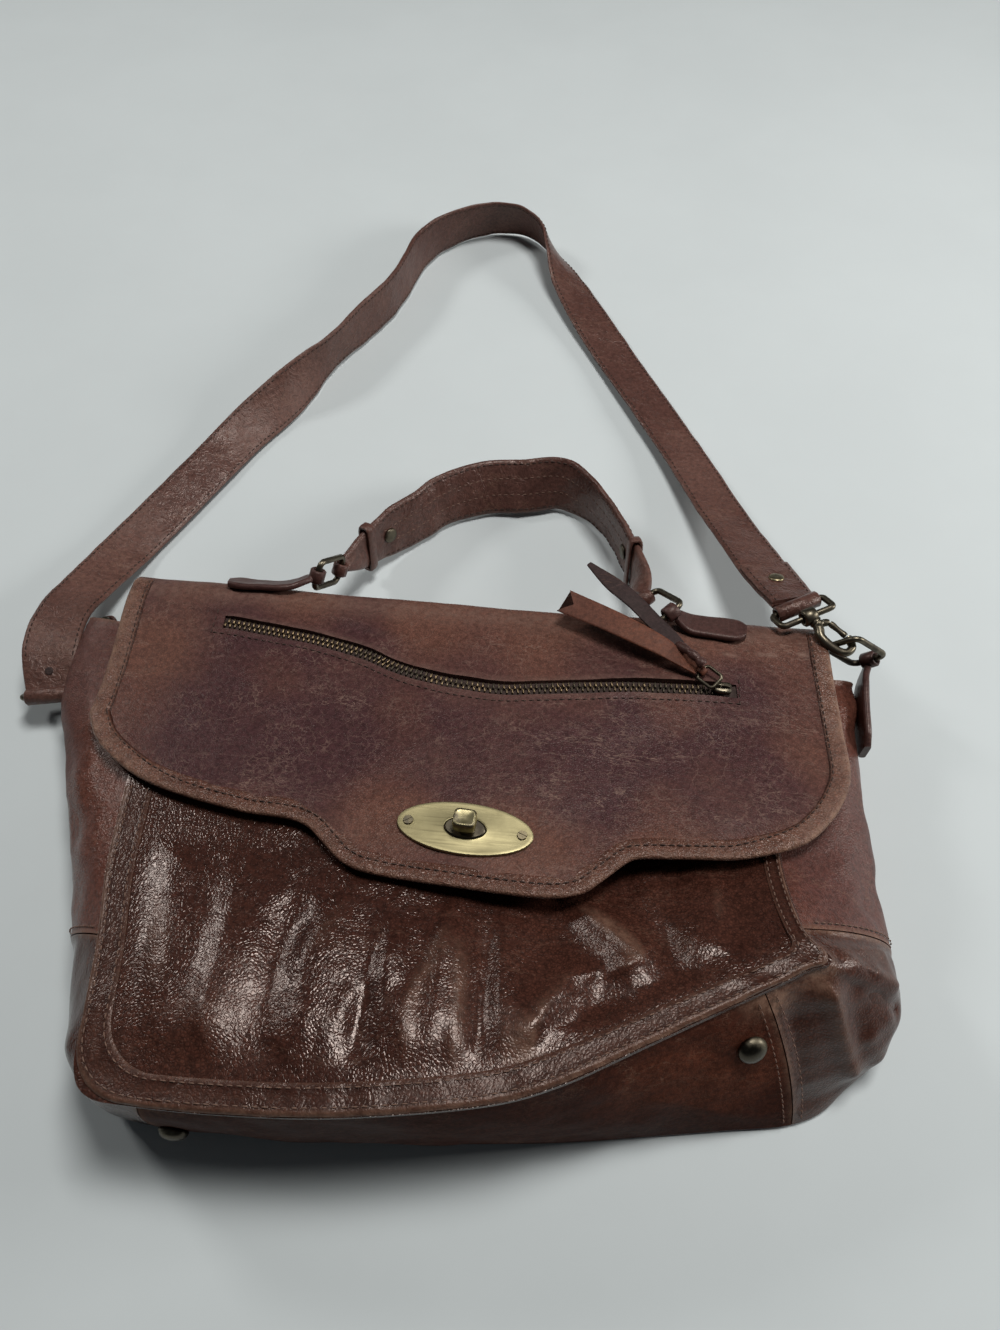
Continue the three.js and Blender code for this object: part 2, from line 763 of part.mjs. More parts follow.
function flap() {
  const normals = gridNormals(flapGrid);
  const facing = normals[ZIP_ROW][9].z > 0 ? -1 : 1;
  const inner = shifted(flapGrid, normals, facing * FLAP_LEATHER);
  inner[0].forEach((p, j) => p.setZ(flapGrid[0][j].z));
  return wall(flapGrid, inner, (i, j) => i !== ZIP_ROW || j < ZIP_FIRST || j >= ZIP_LAST);
}

function zipMiddle(j) {
  return flapGrid[ZIP_ROW][j].clone().add(flapGrid[ZIP_ROW + 1][j]).multiplyScalar(0.5);
}

// A strip that lies in the zip slot, set in from its edges and sunk below the flap's face.
function zipStrip(halfWidth, top, thickness, endInset) {
  const lines = [];
  for (let j = ZIP_FIRST; j <= ZIP_LAST; j += 1) {
    const middle = zipMiddle(j);
    if (j === ZIP_FIRST) middle.lerp(zipMiddle(j + 1), endInset);
    if (j === ZIP_LAST) middle.lerp(zipMiddle(j - 1), endInset);
    lines.push([1, -1].map((side) => new THREE.Vector3(middle.x, middle.y + side * halfWidth, middle.z)));
  }
  const lift = (distance) => lines.map((line) => line.map((p) => p.clone().setZ(p.z + distance)));
  return wall(lift(top), lift(top - thickness));
}

// The flap's outline from the top left, round the lower edge, to the top right.
function flapOutline() {
  const left = [106, 94, 80, 65, 50];
  const sideX = (y, side) => side * FLAP_HALF + flapShift(y);
  const list = left.map((y) => new THREE.Vector2(sideX(y, -1), y));
  const count = 42;
  for (let k = 0; k <= count; k += 1) {
    const t = ((FLAP_EDGE.length - 1) * k) / count;
    list.push(new THREE.Vector2(column(FLAP_EDGE, "x", t), column(FLAP_EDGE, "y", t)));
  }
  const right = [...left].reverse().map((y) => new THREE.Vector2(sideX(y, 1) + 0.4, y));
  return [...list, ...right];
}

function flapBinding() {
  const outline = flapOutline();
  const lanes = outline.map((p, k) => {
    const next = outline[Math.min(outline.length - 1, k + 1)];
    const before = outline[Math.max(0, k - 1)];
    const heading = next.clone().sub(before).normalize();
    const inward = new THREE.Vector2(-heading.y, heading.x);
    const inner = p.clone().addScaledVector(inward, BINDING_WIDTH);
    const outer = p.clone().addScaledVector(inward, 0.2);
    return [outer, inner];
  });
  const lift = (height) =>
    lanes.map((line) => line.map((p) => new THREE.Vector3(p.x, p.y, flapHeight(p.x, p.y) + height)));
  return wall(lift(GAP + 0.25 + BINDING_THICK), lift(GAP + 0.25));
}

// Turn lock

function ellipse(long, wide, sides) {
  return Array.from({ length: sides }, (_, k) => {
    const angle = (2 * Math.PI * k) / sides;
    return new THREE.Vector2((long / 2) * Math.cos(angle), (wide / 2) * Math.sin(angle));
  });
}

function roundedBlock(long, wide, high, radius, bevel) {
  const [a, b] = [long / 2 - bevel, wide / 2 - bevel];
  const r = radius - bevel;
  const shape = new THREE.Shape();
  shape.moveTo(-a + r, -b);
  shape.lineTo(a - r, -b);
  shape.quadraticCurveTo(a, -b, a, -b + r);
  shape.lineTo(a, b - r);
  shape.quadraticCurveTo(a, b, a - r, b);
  shape.lineTo(-a + r, b);
  shape.quadraticCurveTo(-a, b, -a, b - r);
  shape.lineTo(-a, -b + r);
  shape.quadraticCurveTo(-a, -b, -a + r, -b);
  const options = {
    depth: high - 2 * bevel,
    bevelEnabled: true,
    bevelSize: bevel,
    bevelThickness: bevel,
    bevelSegments: 2,
    curveSegments: 4,
  };
  return new THREE.ExtrudeGeometry(shape, options).translate(0, 0, bevel);
}

function upright(radius, high, sides = 16) {
  const drum = new THREE.CylinderGeometry(radius, radius, high, sides);
  return drum.rotateX(Math.PI / 2).translate(0, 0, high / 2);
}

function lockPlate() {
  const shape = new THREE.Shape(ellipse(PLATE_LONG, PLATE_WIDE, 36));
  shape.holes.push(new THREE.Path(ellipse(SLOT_LONG, SLOT_WIDE, 20)));
  return new THREE.ExtrudeGeometry(shape, { depth: PLATE_THICK, bevelEnabled: false });
}

function lockBase() {
  const shape = new THREE.Shape(ellipse(SLOT_LONG - 2 * GAP, SLOT_WIDE - 2 * GAP, 20));
  return new THREE.ExtrudeGeometry(shape, { depth: BASE_THICK, bevelEnabled: false });
}

function lockKnob() {
  const block = roundedBlock(KNOB_LONG, KNOB_WIDE, KNOB_HIGH, 2.6, 0.8).translate(0, 0, POST_HIGH - 0.4);
  return joined(upright(POST_RADIUS, POST_HIGH), block);
}

// Snap hook: a knuckle round the ring's bar, a stud, and an open eye in the plane of heading and side.
function hookFrame(root, heading, side) {
  const across = side.clone().addScaledVector(heading, -side.dot(heading)).normalize();
  return (along, sideways, lift = 0) =>
    root
      .clone()
      .addScaledVector(heading, along)
      .addScaledVector(across, sideways)
      .addScaledVector(heading.clone().cross(across), lift);
}

const EYE_START = 9.5;

function snapHook(root, heading, side, barAxis, closed) {
  const at = hookFrame(root, heading, side);
  const tip = HOOK_LENGTH;
  const eye = [
    [5, 0],
    [EYE_START - 1, 2.2],
    [EYE_START + 3, HOOK_EYE],
    [tip - 6, HOOK_EYE],
    [tip - 1, 2.6],
    [tip - 1, -2.6],
    [tip - 6, -HOOK_EYE],
  ];
  if (closed) eye.push([EYE_START + 3, -HOOK_EYE], [EYE_START - 1, -2.2], [5.5, -0.4]);
  const parts = [
    sleeve(root, barAxis, 7.5, BORE, BORE + 2.2),
    bar([at(BORE + 1.3, 0), at(8, 0)], 3.4, 1, 10),
    bar(
      eye.map(([a, b]) => at(a, b)),
      HOOK_WIRE,
      closed ? 15 : 12,
      6,
    ),
  ];
  if (!closed) {
    parts.push(bar([at(7, -1.5), at(EYE_START - 0.6, -HOOK_EYE + 0.4)], 2, 1, 8));
  }
  return joined(...parts);
}

const GATE_PIVOT = [EYE_START + 1.9, -HOOK_EYE];
const GATE_REACH = HOOK_LENGTH - 6 - GATE_PIVOT[0] - 1.3;

function hookGate(root, heading, side) {
  const at = hookFrame(root, heading, side);
  const [along, sideways] = GATE_PIVOT;
  return bar([at(along, sideways), at(along + GATE_REACH, sideways)], GATE_WIRE, 1, 8);
}

// Domed studs

function dome(radius, high) {
  const steps = 3;
  const profile = [new THREE.Vector2(0, 0), new THREE.Vector2(radius, 0)];
  for (let k = 1; k <= steps; k += 1) {
    const angle = (Math.PI / 2) * (k / steps);
    profile.push(new THREE.Vector2(k === steps ? 0 : radius * Math.cos(angle), high * Math.sin(angle)));
  }
  return new THREE.LatheGeometry(profile, 10);
}

function studOnBand(rows, t, thickness, face, radius, high) {
  const last = rows.length - 1;
  const heading = point(rows, Math.min(last, t + 0.2)).sub(point(rows, Math.max(0, t - 0.2))).normalize();
  const level = Z_UP.clone().cross(heading).normalize();
  const rise = heading.clone().cross(level).normalize();
  const lean = THREE.MathUtils.degToRad(column(rows, "lean", t));
  const across = level.multiplyScalar(Math.cos(lean)).addScaledVector(rise, Math.sin(lean));
  const normal = heading.clone().cross(across).normalize().multiplyScalar(face);
  const place = point(rows, t).addScaledVector(normal, thickness / 2 + 0.55);
  return laid(dome(radius, high), normal, place);
}

// A flat loop of leather round a band near its end.
function keeper(rows, t, thickness) {
  const at = point(rows, t);
  const heading = point(rows, t + 0.1).sub(point(rows, t - 0.1)).normalize();
  const level = Z_UP.clone().cross(heading).normalize();
  const rise = heading.clone().cross(level).normalize();
  const lean = THREE.MathUtils.degToRad(column(rows, "lean", t));
  const across = level.multiplyScalar(Math.cos(lean)).addScaledVector(rise, Math.sin(lean));
  const face = heading.clone().cross(across).normalize();
  const halfWidth = column(rows, "width", t) / 2 + 1.8;
  const halfThick = thickness / 2 + 1.1;
  const ringAt = (grow, along) =>
    [
      [-1, -1],
      [1, -1],
      [1, 1],
      [-1, 1],
      [-1, -1],
    ].map(([a, b]) =>
      at
        .clone()
        .addScaledVector(across, a * (halfWidth + grow))
        .addScaledVector(face, b * (halfThick + grow))
        .addScaledVector(heading, along),
    );
  const outer = [ringAt(1.8, -3), ringAt(1.8, 3)];
  const inner = [ringAt(0, -3), ringAt(0, 3)];
  const points = [...outer.flatMap((r) => r.slice(0, 4)), ...inner.flatMap((r) => r.slice(0, 4))];
  const triangles = [];
  const quad = (a, b, c, d) => {
    triangles.push([a, b, c], [a, c, d]);
  };
  for (let k = 0; k < 4; k += 1) {
    const n = (k + 1) % 4;
    quad(k, n, 4 + n, 4 + k);
    quad(8 + n, 8 + k, 12 + k, 12 + n);
    quad(n, k, 8 + k, 8 + n);
    quad(4 + k, 4 + n, 12 + n, 12 + k);
  }
  return closedGeometry(points, triangles);
}

// Materials

function leather(colour, roughness) {
  return new THREE.MeshStandardMaterial({ color: colour, roughness, metalness: 0 });
}

function metal(colour, roughness) {
  return new THREE.MeshStandardMaterial({ color: colour, roughness, metalness: 1 });
}

const flapLeather = leather(0x57352f, 0.6);
const bodyLeather = leather(0x54291f, 0.38);
const gussetLeather = leather(0x643b30, 0.6);
const edgeLeather = leather(0x73452f, 0.6);
const strapLeather = leather(0x4d2924, 0.5);
const tanLeather = leather(0x6b3420, 0.6);
const darkLeather = leather(0x33272a, 0.7);
const tapeCloth = leather(0x2e2320, 0.9);
const lockBrass = metal(0xa58f52, 0.4);
const darkBrass = metal(0x5b4f3a, 0.45);
const toothBrass = metal(0x8a6a3e, 0.45);

const satchel = new THREE.Group();

function add(name, geometry, material, parent = satchel) {
  const mesh = new THREE.Mesh(geometry, material);
  mesh.name = name;
  parent.add(mesh);
  return mesh;
}

// Assembly

add("back_panel", backPanel(), gussetLeather);
add("front_panel", frontPanel(), bodyLeather);
add("front_border", frontBorder(), bodyLeather);
const seamShare = SEAM / 30;
add("gusset_left", bodySheet(0, SIDE_SEAM_LEFT - seamShare, 8, 5), gussetLeather);
add("end_cap_left", bodySheet(SIDE_SEAM_LEFT + seamShare, END_SEAM_LEFT - seamShare, 10, 5), bodyLeather);
add("bottom_panel", bodySheet(END_SEAM_LEFT + seamShare, END_SEAM_RIGHT - seamShare, 14, 5), bodyLeather);
add("end_cap_right", bodySheet(END_SEAM_RIGHT + seamShare, SIDE_SEAM_RIGHT - seamShare, 10, 7), bodyLeather);
add("gusset_right", bodySheet(SIDE_SEAM_RIGHT + seamShare, LAST_SECTION, 8, 5), gussetLeather);

add("flap", flap(), flapLeather);
add("flap_binding", flapBinding(), edgeLeather);
add("zip_tape", zipStrip(ZIP_SLOT / 2 - 0.7, -TAPE_DEPTH, TAPE_THICK, 0.08), tapeCloth);
add("zip_teeth", zipStrip(TEETH_WIDTH / 2, -TAPE_DEPTH + GAP + TEETH_HIGH, TEETH_HIGH, 0.1), toothBrass);

const lock = new THREE.Group();
lock.position.set(LOCK_X, LOCK_Y, flapHeight(LOCK_X, LOCK_Y) + GAP + 0.1);
lock.rotation.set(-Math.atan(FLAP_SLOPE), 0, THREE.MathUtils.degToRad(LOCK_TURN));
satchel.add(lock);
add("lock_plate", lockPlate(), lockBrass, lock);
add("lock_base", lockBase(), darkBrass, lock);
add("lock_knob", lockKnob().translate(0, 0, BASE_THICK + GAP), lockBrass, lock);
[-1, 1].forEach((side) => {
  const screw = upright(2.2, 0.9, 14).translate((side * SCREW_SPACING) / 2, 0, PLATE_THICK + GAP);
  add(side < 0 ? "lock_screw_left" : "lock_screw_right", screw, lockBrass, lock);
});

const handleRingLeft = ovalRing(TAB_LOOP_LEFT, HANDLE_LOOP_LEFT, Z_UP, HANDLE_RING_HALF);
const handleSideRight = new THREE.Vector3(0.75, 0.6, 0.25);
const handleRingRight = ovalRing(TAB_LOOP_RIGHT, HANDLE_LOOP_RIGHT, handleSideRight, HANDLE_RING_HALF);
const handleLine = endingAt(endingAt(HANDLE_LINE, HANDLE_LOOP_LEFT, false), HANDLE_LOOP_RIGHT, true);
add("handle_ring_left", handleRingLeft.geometry, darkBrass);
add("handle_ring_right", handleRingRight.geometry, darkBrass);
add(
  "handle",
  joined(
    band(handleLine, STRAP_LEATHER + 1, 30),
    sleeve(HANDLE_LOOP_LEFT, handleRingLeft.across, HANDLE_LOOP_WIDTH),
    sleeve(HANDLE_LOOP_RIGHT, handleRingRight.across, HANDLE_LOOP_WIDTH),
  ),
  strapLeather,
);
add("handle_keeper_left", keeper(HANDLE_LINE, 0.95, STRAP_LEATHER + 1), strapLeather);
add("handle_keeper_right", keeper(HANDLE_LINE, 11.3, STRAP_LEATHER + 1), strapLeather);
add("handle_rivet_left", studOnBand(HANDLE_LINE, 1.75, STRAP_LEATHER + 1, 1, RIVET_RADIUS, 1.4), darkBrass);
add("handle_rivet_right", studOnBand(HANDLE_LINE, 10.6, STRAP_LEATHER + 1, 1, RIVET_RADIUS, 1.4), darkBrass);

const TAB_LEFT_LINE = table(BAND_COLUMNS, [
  [-138, 126.4, 47.5, -40, 8],
  [-132, 126.8, 46.9, -40, 14],
  [-118, 127.3, 45.9, -40, 14],
  [-106, 128.8, 45.6, -40, 14],
  [-95.5, 134.6, 46.2, -40, 8],
]);
const TAB_RIGHT_LINE = table(BAND_COLUMNS, [
  [104.5, 124.4, 51.2, -14, 8],
  [112, 121.2, 49.8, -16, 15],
  [124, 120.2, 49.5, -16, 16],
  [135, 119.2, 49.9, -16, 16],
  [140, 118.7, 50.1, -16, 8],
]);
add(
  "handle_tab_left",
  joined(
    band(endingAt(TAB_LEFT_LINE, TAB_LOOP_LEFT, true), 3.4, 8),
    sleeve(TAB_LOOP_LEFT, handleRingLeft.across, HANDLE_LOOP_WIDTH),
  ),
  strapLeather,
);
add(
  "handle_tab_right",
  joined(
    band(endingAt(TAB_RIGHT_LINE, TAB_LOOP_RIGHT, false), 3.4, 8),
    sleeve(TAB_LOOP_RIGHT, handleRingRight.across, HANDLE_LOOP_WIDTH),
  ),
  strapLeather,
);

const strapSide = new THREE.Vector3(0.9, 0.42, 0.1);
const strapSideLeft = new THREE.Vector3(0.985, 0.17, 0.05);
const strapRingRight = ovalRing(STRAP_LOOP_RIGHT, HOOK_ROOT_RIGHT, strapSide, STRAP_RING_HALF);
const strapRingLeft = ovalRing(STRAP_LOOP_LEFT, HOOK_ROOT_LEFT, strapSideLeft, STRAP_RING_HALF);
const strapLine = endingAt(endingAt(STRAP_LINE, STRAP_LOOP_LEFT, false), STRAP_LOOP_RIGHT, true);
add("strap_ring_right", strapRingRight.geometry, darkBrass);
add("strap_ring_left", strapRingLeft.geometry, darkBrass);
add(
  "shoulder_strap",
  joined(
    band(strapLine, STRAP_LEATHER, 56),
    sleeve(STRAP_LOOP_LEFT, strapRingLeft.across, STRAP_END_WIDTH),
    sleeve(STRAP_LOOP_RIGHT, strapRingRight.across, STRAP_END_WIDTH),
  ),
  strapLeather,
);
add("strap_rivet", studOnBand(STRAP_LINE, 28.35, STRAP_LEATHER, -1, 4.2, 1.2), darkBrass);

const hookSide = new THREE.Vector3(-0.7, -0.7, 0);
const hookAtRight = hookFrame(HOOK_ROOT_RIGHT, HOOK_HEADING_RIGHT, hookSide);
add(
  "strap_hook_right",
  snapHook(HOOK_ROOT_RIGHT, HOOK_HEADING_RIGHT, hookSide, strapRingRight.across, false),
  darkBrass,
);
add("hook_gate", hookGate(HOOK_ROOT_RIGHT, HOOK_HEADING_RIGHT, hookSide), darkBrass);
const hookSideLeft = new THREE.Vector3(1, -0.1, 0);
const hookAtLeft = hookFrame(HOOK_ROOT_LEFT, HOOK_HEADING_LEFT, hookSideLeft);
add(
  "strap_hook_left",
  snapHook(HOOK_ROOT_LEFT, HOOK_HEADING_LEFT, hookSideLeft, strapRingLeft.across, true),
  darkBrass,
);

const sideRingSide = new THREE.Vector3(0.55, -0.1, 0.7);
const sideRingRight = ovalRing(hookAtRight(HOOK_LENGTH - 6.6, 0), SIDE_LOOP_RIGHT, sideRingSide, 9.5);
const sideRingLeft = ovalRing(hookAtLeft(HOOK_LENGTH - 5.4, 0), SIDE_LOOP_LEFT, Z_UP, 6.5);
add("side_ring_right", sideRingRight.geometry, darkBrass);
add("side_ring_left", sideRingLeft.geometry, darkBrass);
const SIDE_TAB_RIGHT_LINE = table(BAND_COLUMNS, [
  [207, 114, 33, 90, 7],
  [204.6, 105, 29.5, 90, 18],
  [203.4, 90, 28, 90, 20],
  [203.1, 74, 27, 90, 20],
  [203.1, 66, 27, 90, 12],
]);
const SIDE_TAB_LEFT_LINE = table(BAND_COLUMNS, [
  [-210.5, 114, 12, 110, 4],
  [-206.4, 105, 13.9, 140, 10],
  [-209.4, 92, 16.5, 140, 11],
  [-209.7, 83, 16.9, 140, 11],
  [-209.5, 78, 16.9, 140, 7],
]);
add(
  "side_tab_right",
  joined(
    band(endingAt(SIDE_TAB_RIGHT_LINE, SIDE_LOOP_RIGHT, false), 3.6, 8),
    sleeve(SIDE_LOOP_RIGHT, sideRingRight.across, 8),
  ),
  strapLeather,
);
add(
  "side_tab_left",
  joined(
    band(endingAt(SIDE_TAB_LEFT_LINE, SIDE_LOOP_LEFT, false), 3.6, 8),
    sleeve(SIDE_LOOP_LEFT, sideRingLeft.across, 5),
  ),
  strapLeather,
);

const sliderX = 126;
const sliderY = zipY(sliderX);
const sliderZ = flapHeight(sliderX, sliderY) - TAPE_DEPTH + GAP + TEETH_HIGH + GAP;
add("zip_slider", roundedBlock(9, 6.5, 2.4, 1.6, 0.5).translate(sliderX, sliderY, sliderZ), darkBrass);
const pullRoot = new THREE.Vector3(sliderX - 3, sliderY + 1, sliderZ + 4.1);
const pullEnd = new THREE.Vector3(115.5, 88.5, sliderZ + 3.2);
const pullRing = ovalRing(pullRoot, pullEnd, new THREE.Vector3(0.5, 0.7, 0.2), 4.2, 0.9);
add("zip_pull", pullRing.geometry, darkBrass);
add(
  "tassel_front",
  joined(
    band(endingAt(TASSEL_FRONT_LINE, pullEnd, false, 1.9), 1.2, 10, 6),
    sleeve(pullEnd, pullRing.across, 4, 1.3, 2.5),
  ),
  tanLeather,
);
add("tassel_back", band(TASSEL_BACK_LINE, 1.2, 10), darkLeather);

const FEET = table(
  ["name", "t", "s"],
  [
    ["foot_left", 8.2, 0.3],
    ["foot_right", 14.55, 0.7],
  ],
);
FEET.forEach(({ name, t, s }) => {
  const normal = bodyNormal(t, s);
  const place = bodyPoint(t, s).addScaledVector(normal, 0.35);
  add(name, laid(dome(FOOT_RADIUS, 4.5), normal, place), darkBrass);
});

export default satchel;
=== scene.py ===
"""A worn leather satchel lying on its back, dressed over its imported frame.

Shapes are worked out in millimetres in the frame's own axes and turned into metres when a piece is made.
"""
import math

import bmesh
import bpy
import numpy as np
from bpy.props import FloatProperty, FloatVectorProperty, PointerProperty
from mathutils import Matrix, Vector


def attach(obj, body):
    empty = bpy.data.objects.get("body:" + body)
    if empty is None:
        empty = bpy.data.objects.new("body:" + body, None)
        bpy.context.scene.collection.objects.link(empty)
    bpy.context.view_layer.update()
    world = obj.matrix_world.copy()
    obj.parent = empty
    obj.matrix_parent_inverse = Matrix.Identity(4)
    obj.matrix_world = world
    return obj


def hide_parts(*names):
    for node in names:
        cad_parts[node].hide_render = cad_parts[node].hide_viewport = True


bl_info = {
    "name": "Leather Satchel",
    "version": (1, 0, 0),
    "blender": (4, 5, 0),
    "location": "View3D > Sidebar > Satchel",
    "description": "Builds a worn leather satchel piece by piece over its packed frame",
    "category": "Add Mesh",
}

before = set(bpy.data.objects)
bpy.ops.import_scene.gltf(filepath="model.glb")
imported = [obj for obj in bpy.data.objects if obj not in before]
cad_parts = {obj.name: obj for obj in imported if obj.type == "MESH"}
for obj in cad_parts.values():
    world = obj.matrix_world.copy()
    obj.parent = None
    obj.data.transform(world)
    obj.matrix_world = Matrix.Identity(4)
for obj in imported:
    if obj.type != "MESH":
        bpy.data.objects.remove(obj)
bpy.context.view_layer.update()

MM = 0.001
BAG = "bag"
UP = np.array([0.0, 0.0, 1.0])
ACROSS = np.array([1.0, 0.0, 0.0])

# Leather and seams: thicknesses, shares of a section or of the front panel, and the tint of the sheen
LEATHER = 2.0
FLAP_LEATHER = 2.4
STRAP_LEATHER = 2.6
HANDLE_LEATHER = 3.6
TAB_LEATHER = 3.4
SIDE_TAB_LEATHER = 3.6
TASSEL_LEATHER = 1.2
SEAT = 2.3
EDGE_DROP = 3.0
SEAM_SHARE = 0.3 / 30
BORDER_MIDDLE = 0.026
WARM_SHEEN = (1.0, 0.86, 0.79, 1.0)

# Flap
FLAP_HALF = 184.5
FLAP_FRONT_Y = 110.0
FLAP_FRONT_Z = 50.5
FLAP_SLOPE = 0.106
FLAP_DROOP = 5.0
FLAP_SAG = 4.5
ZIP_SLOT = 8.0
TAPE_DEPTH = 1.3
ZIP_LEFT = -135.0
ZIP_RIGHT = 132.0

# Body sections, from the left side of the mouth round the bottom to the right side:
# back edge x and y, widest point x, y and z, front edge x, y and z.
SECTIONS = np.array([
    [-182, 110, -215, 107, 30, -168, 98, 40],
    [-178, 62, -214, 62, 32, -164, 60, 47],
    [-172, 8, -196, 8, 32, -157, 9, 52],
    [-165, -38, -179, -34, 32, -151, -38, 58],
    [-157, -72, -167, -68, 32, -143, -72, 63],
    [-150, -102, -157, -97, 34, -138, -101, 66],
    [-143, -126, -147, -121, 38, -135, -125, 66],
    [-129, -136, -131, -136, 38, -126, -136, 67],
    [-108, -137, -108, -140, 38, -106, -138, 68],
    [-72, -137, -72, -141, 38, -70, -138, 71],
    [-30, -135, -30, -139, 38, -26, -135, 73],
    [34, -130, 32, -132, 38, 27, -126, 74],
    [68, -126, 63, -124, 38, 56, -116, 75],
    [104, -120, 97, -112, 39, 86, -100, 76],
    [134, -115, 124, -103, 40, 110, -87, 77],
    [162, -110, 152, -93, 40, 136, -73, 77],
    [180, -100, 180, -82, 36, 152, -64, 78],
    [190, -82, 203, -66, 34, 163, -58, 77],
    [194, -45, 201, -37, 36, 153, -44, 73],
    [193, 0, 199, 4, 32, 150, -2, 53],
    [190, 60, 198, 64, 29, 155, 55, 47],
    [186, 110, 200, 107, 27, 162, 98, 41],
], float)
SIDE_SEAM_LEFT = 4.0
CORNER_LEFT = 6.6
END_SEAM_LEFT = 8.0
END_SEAM_RIGHT = 15.0
CORNER_RIGHT = 17.0
SIDE_SEAM_RIGHT = 18.0
LAST_SECTION = 21.0
PANEL_BULGE = 3.0
PANEL_HOLLOW = 11.0

# Folds of the front panel: start x and y, end x and y, spread, height, sharpness.
FOLDS = np.array([
    [-88, -44, -84, -112, 11, 2.6, 2],
    [-50, -46, -46, -112, 10, 3.2, 2],
    [-18, -48, -14, -112, 8, 3.0, 2],
    [6, -50, 6, -112, 7, 3.6, 2],
    [30, -46, 30, -104, 7, 3.4, 2],
    [58, -40, 84, -66, 8, 4.2, 2],
    [42, -104, 62, -78, 7, 3.2, 2],
    [90, -24, 112, -62, 8, 3.6, 2],
    [114, -12, 112, -58, 9, 3.0, 2],
    [-122, -30, -112, -104, 11, 2.0, 2],
], float)
CREASES = np.array([
    [-37, -42, -58, -84, 7.0, 1.5, 1.8],
    [-12, -60, -34, -100, 6.0, 1.5, 1.8],
    [6, -50, -8, -94, 5.5, 1.7, 1.7],
    [-7, -92, -3, -118, 5.0, 1.4, 1.7],
    [12, -62, 15, -121, 5.5, 1.9, 1.7],
    [28, -58, 33, -112, 5.0, 1.5, 1.7],
    [-58, -100, -50, -118, 6.0, 1.2, 1.8],
    [-90, -96, -80, -118, 6.0, 1.2, 1.8],
    [-127, -44, -109, -101, 9.0, 1.6, 1.8],
    [61, -39, 88, -62, 4.0, 3.0, 1.3],
    [75, -70, 88, -62, 4.0, 2.0, 1.4],
    [39, -110, 47, -90, 4.0, 2.4, 1.4],
    [47, -90, 58, -72, 4.0, 2.2, 1.4],
    [58, -72, 75, -68, 4.0, 1.7, 1.4],
    [39, -111, 67, -98, 3.6, 1.5, 1.4],
    [64, -90, 86, -80, 9.0, -3.4, 2],
    [101, -32, 98, -74, 8.0, -3.0, 1.8],
    [120, -19, 118, -52, 5.0, 1.8, 1.6],
    [22, -62, 24, -114, 4.5, -1.8, 1.8],
    [-24, -72, -26, -114, 5.0, -1.8, 1.8],
    [-66, -56, -62, -110, 6.0, -1.4, 1.9],
], float)

# The flap's turn over the top (y, z), its lower edge (x, y) and the zip's middle line (x, y).
FLAP_TURN = np.array([
    [124, 2.4], [128.5, 11], [131.5, 23], [131.8, 34], [129, 42.5], [122, 47.5], [110, 50.5],
], float)
FLAP_EDGE = np.array([
    [-184.5, 37], [-174, 21], [-154, 6.5], [-132, -2.4], [-97, -10], [-68, -13], [-54, -23],
    [-46, -30], [-32, -35], [4, -37.6], [43, -39], [60, -35.7], [69, -28.7], [79.5, -19],
    [86, -16], [110, -13.6], [132, -11], [158.5, -1.3], [173.5, 13], [183, 29.7], [185.5, 41],
], float)
ZIP_LINE = np.array([
    [-134, 99], [-81, 92], [-55, 85.5], [-37, 77], [-12, 71], [15, 69], [47, 74], [79, 78], [130, 81],
], float)
# Creases of the flap, as the folds above.
FLAP_CREASES = np.array([
    [-76, 111, -34, 96, 4.0, 1.3, 1.6],
    [-67, 93, -40, 86, 4.0, 0.8, 1.6],
    [60, 100, 96, 96, 5.0, -0.9, 2],
    [-150, 60, -60, 40, 16.0, -0.9, 2],
    [40, 30, 140, 44, 20.0, -0.8, 2],
    [-40, 8, -20, -30, 9.0, 0.5, 2],
], float)

# Leather bands: x, y, z, lean in degrees and width along each centre line.
HANDLE_LINE = np.array([
    [-81, 159, 28, 60, 8], [-72, 177.5, 23, 82, 27], [-60, 194, 19.5, 76, 33], [-46, 209, 17.5, 70, 33],
    [-33, 223, 17, 64, 33], [-9, 236, 15.5, 52, 33], [14, 240, 15, 47, 33], [36, 243, 16.5, 60, 33],
    [53, 232, 18, 80, 33], [66, 217, 18.5, 90, 33], [76, 200, 19, 90, 33], [81, 184, 22, 88, 30],
    [85, 164, 31, 74, 22], [87, 148, 37.5, 14, 5.5],
], float)
STRAP_LINE = np.array([
    [-228, 69, 22.5, 6, 25], [-232, 89, 28, 5, 30], [-234, 115, 25, 5, 30], [-230, 145, 14, 7, 30],
    [-221, 176, 6.5, 10, 30], [-206, 208, 6, 12, 30], [-188, 246, 6.5, 15, 30], [-173, 276, 8, 22, 30],
    [-154.5, 302.5, 12, 44, 30], [-140, 325.5, 15.5, 72, 30], [-127, 349, 16.5, 91, 30],
    [-111, 379, 16.5, 86, 30], [-97, 407, 16.5, 85, 30], [-89, 433, 16.5, 85, 30], [-82, 461, 16.5, 85, 30],
    [-69, 484, 16.5, 88, 30], [-48.5, 501, 16.5, 94, 30], [-27, 508.5, 16.5, 100, 30],
    [-6.5, 505, 16.5, 104, 30], [9, 489.7, 15.5, 107, 30], [19.3, 471, 12.8, 131, 30],
    [31.4, 446, 7.5, 160, 30], [47.4, 412.7, 5, 172, 30], [70, 370.5, 4.5, 174, 30],
    [93, 327, 5, 172, 30], [112, 290, 6, 170, 30], [129, 250, 11, 170, 30], [143.5, 211.5, 20, 172, 30],
    [156, 174.5, 32, 176, 30], [166, 142, 47, 178, 25],
], float)
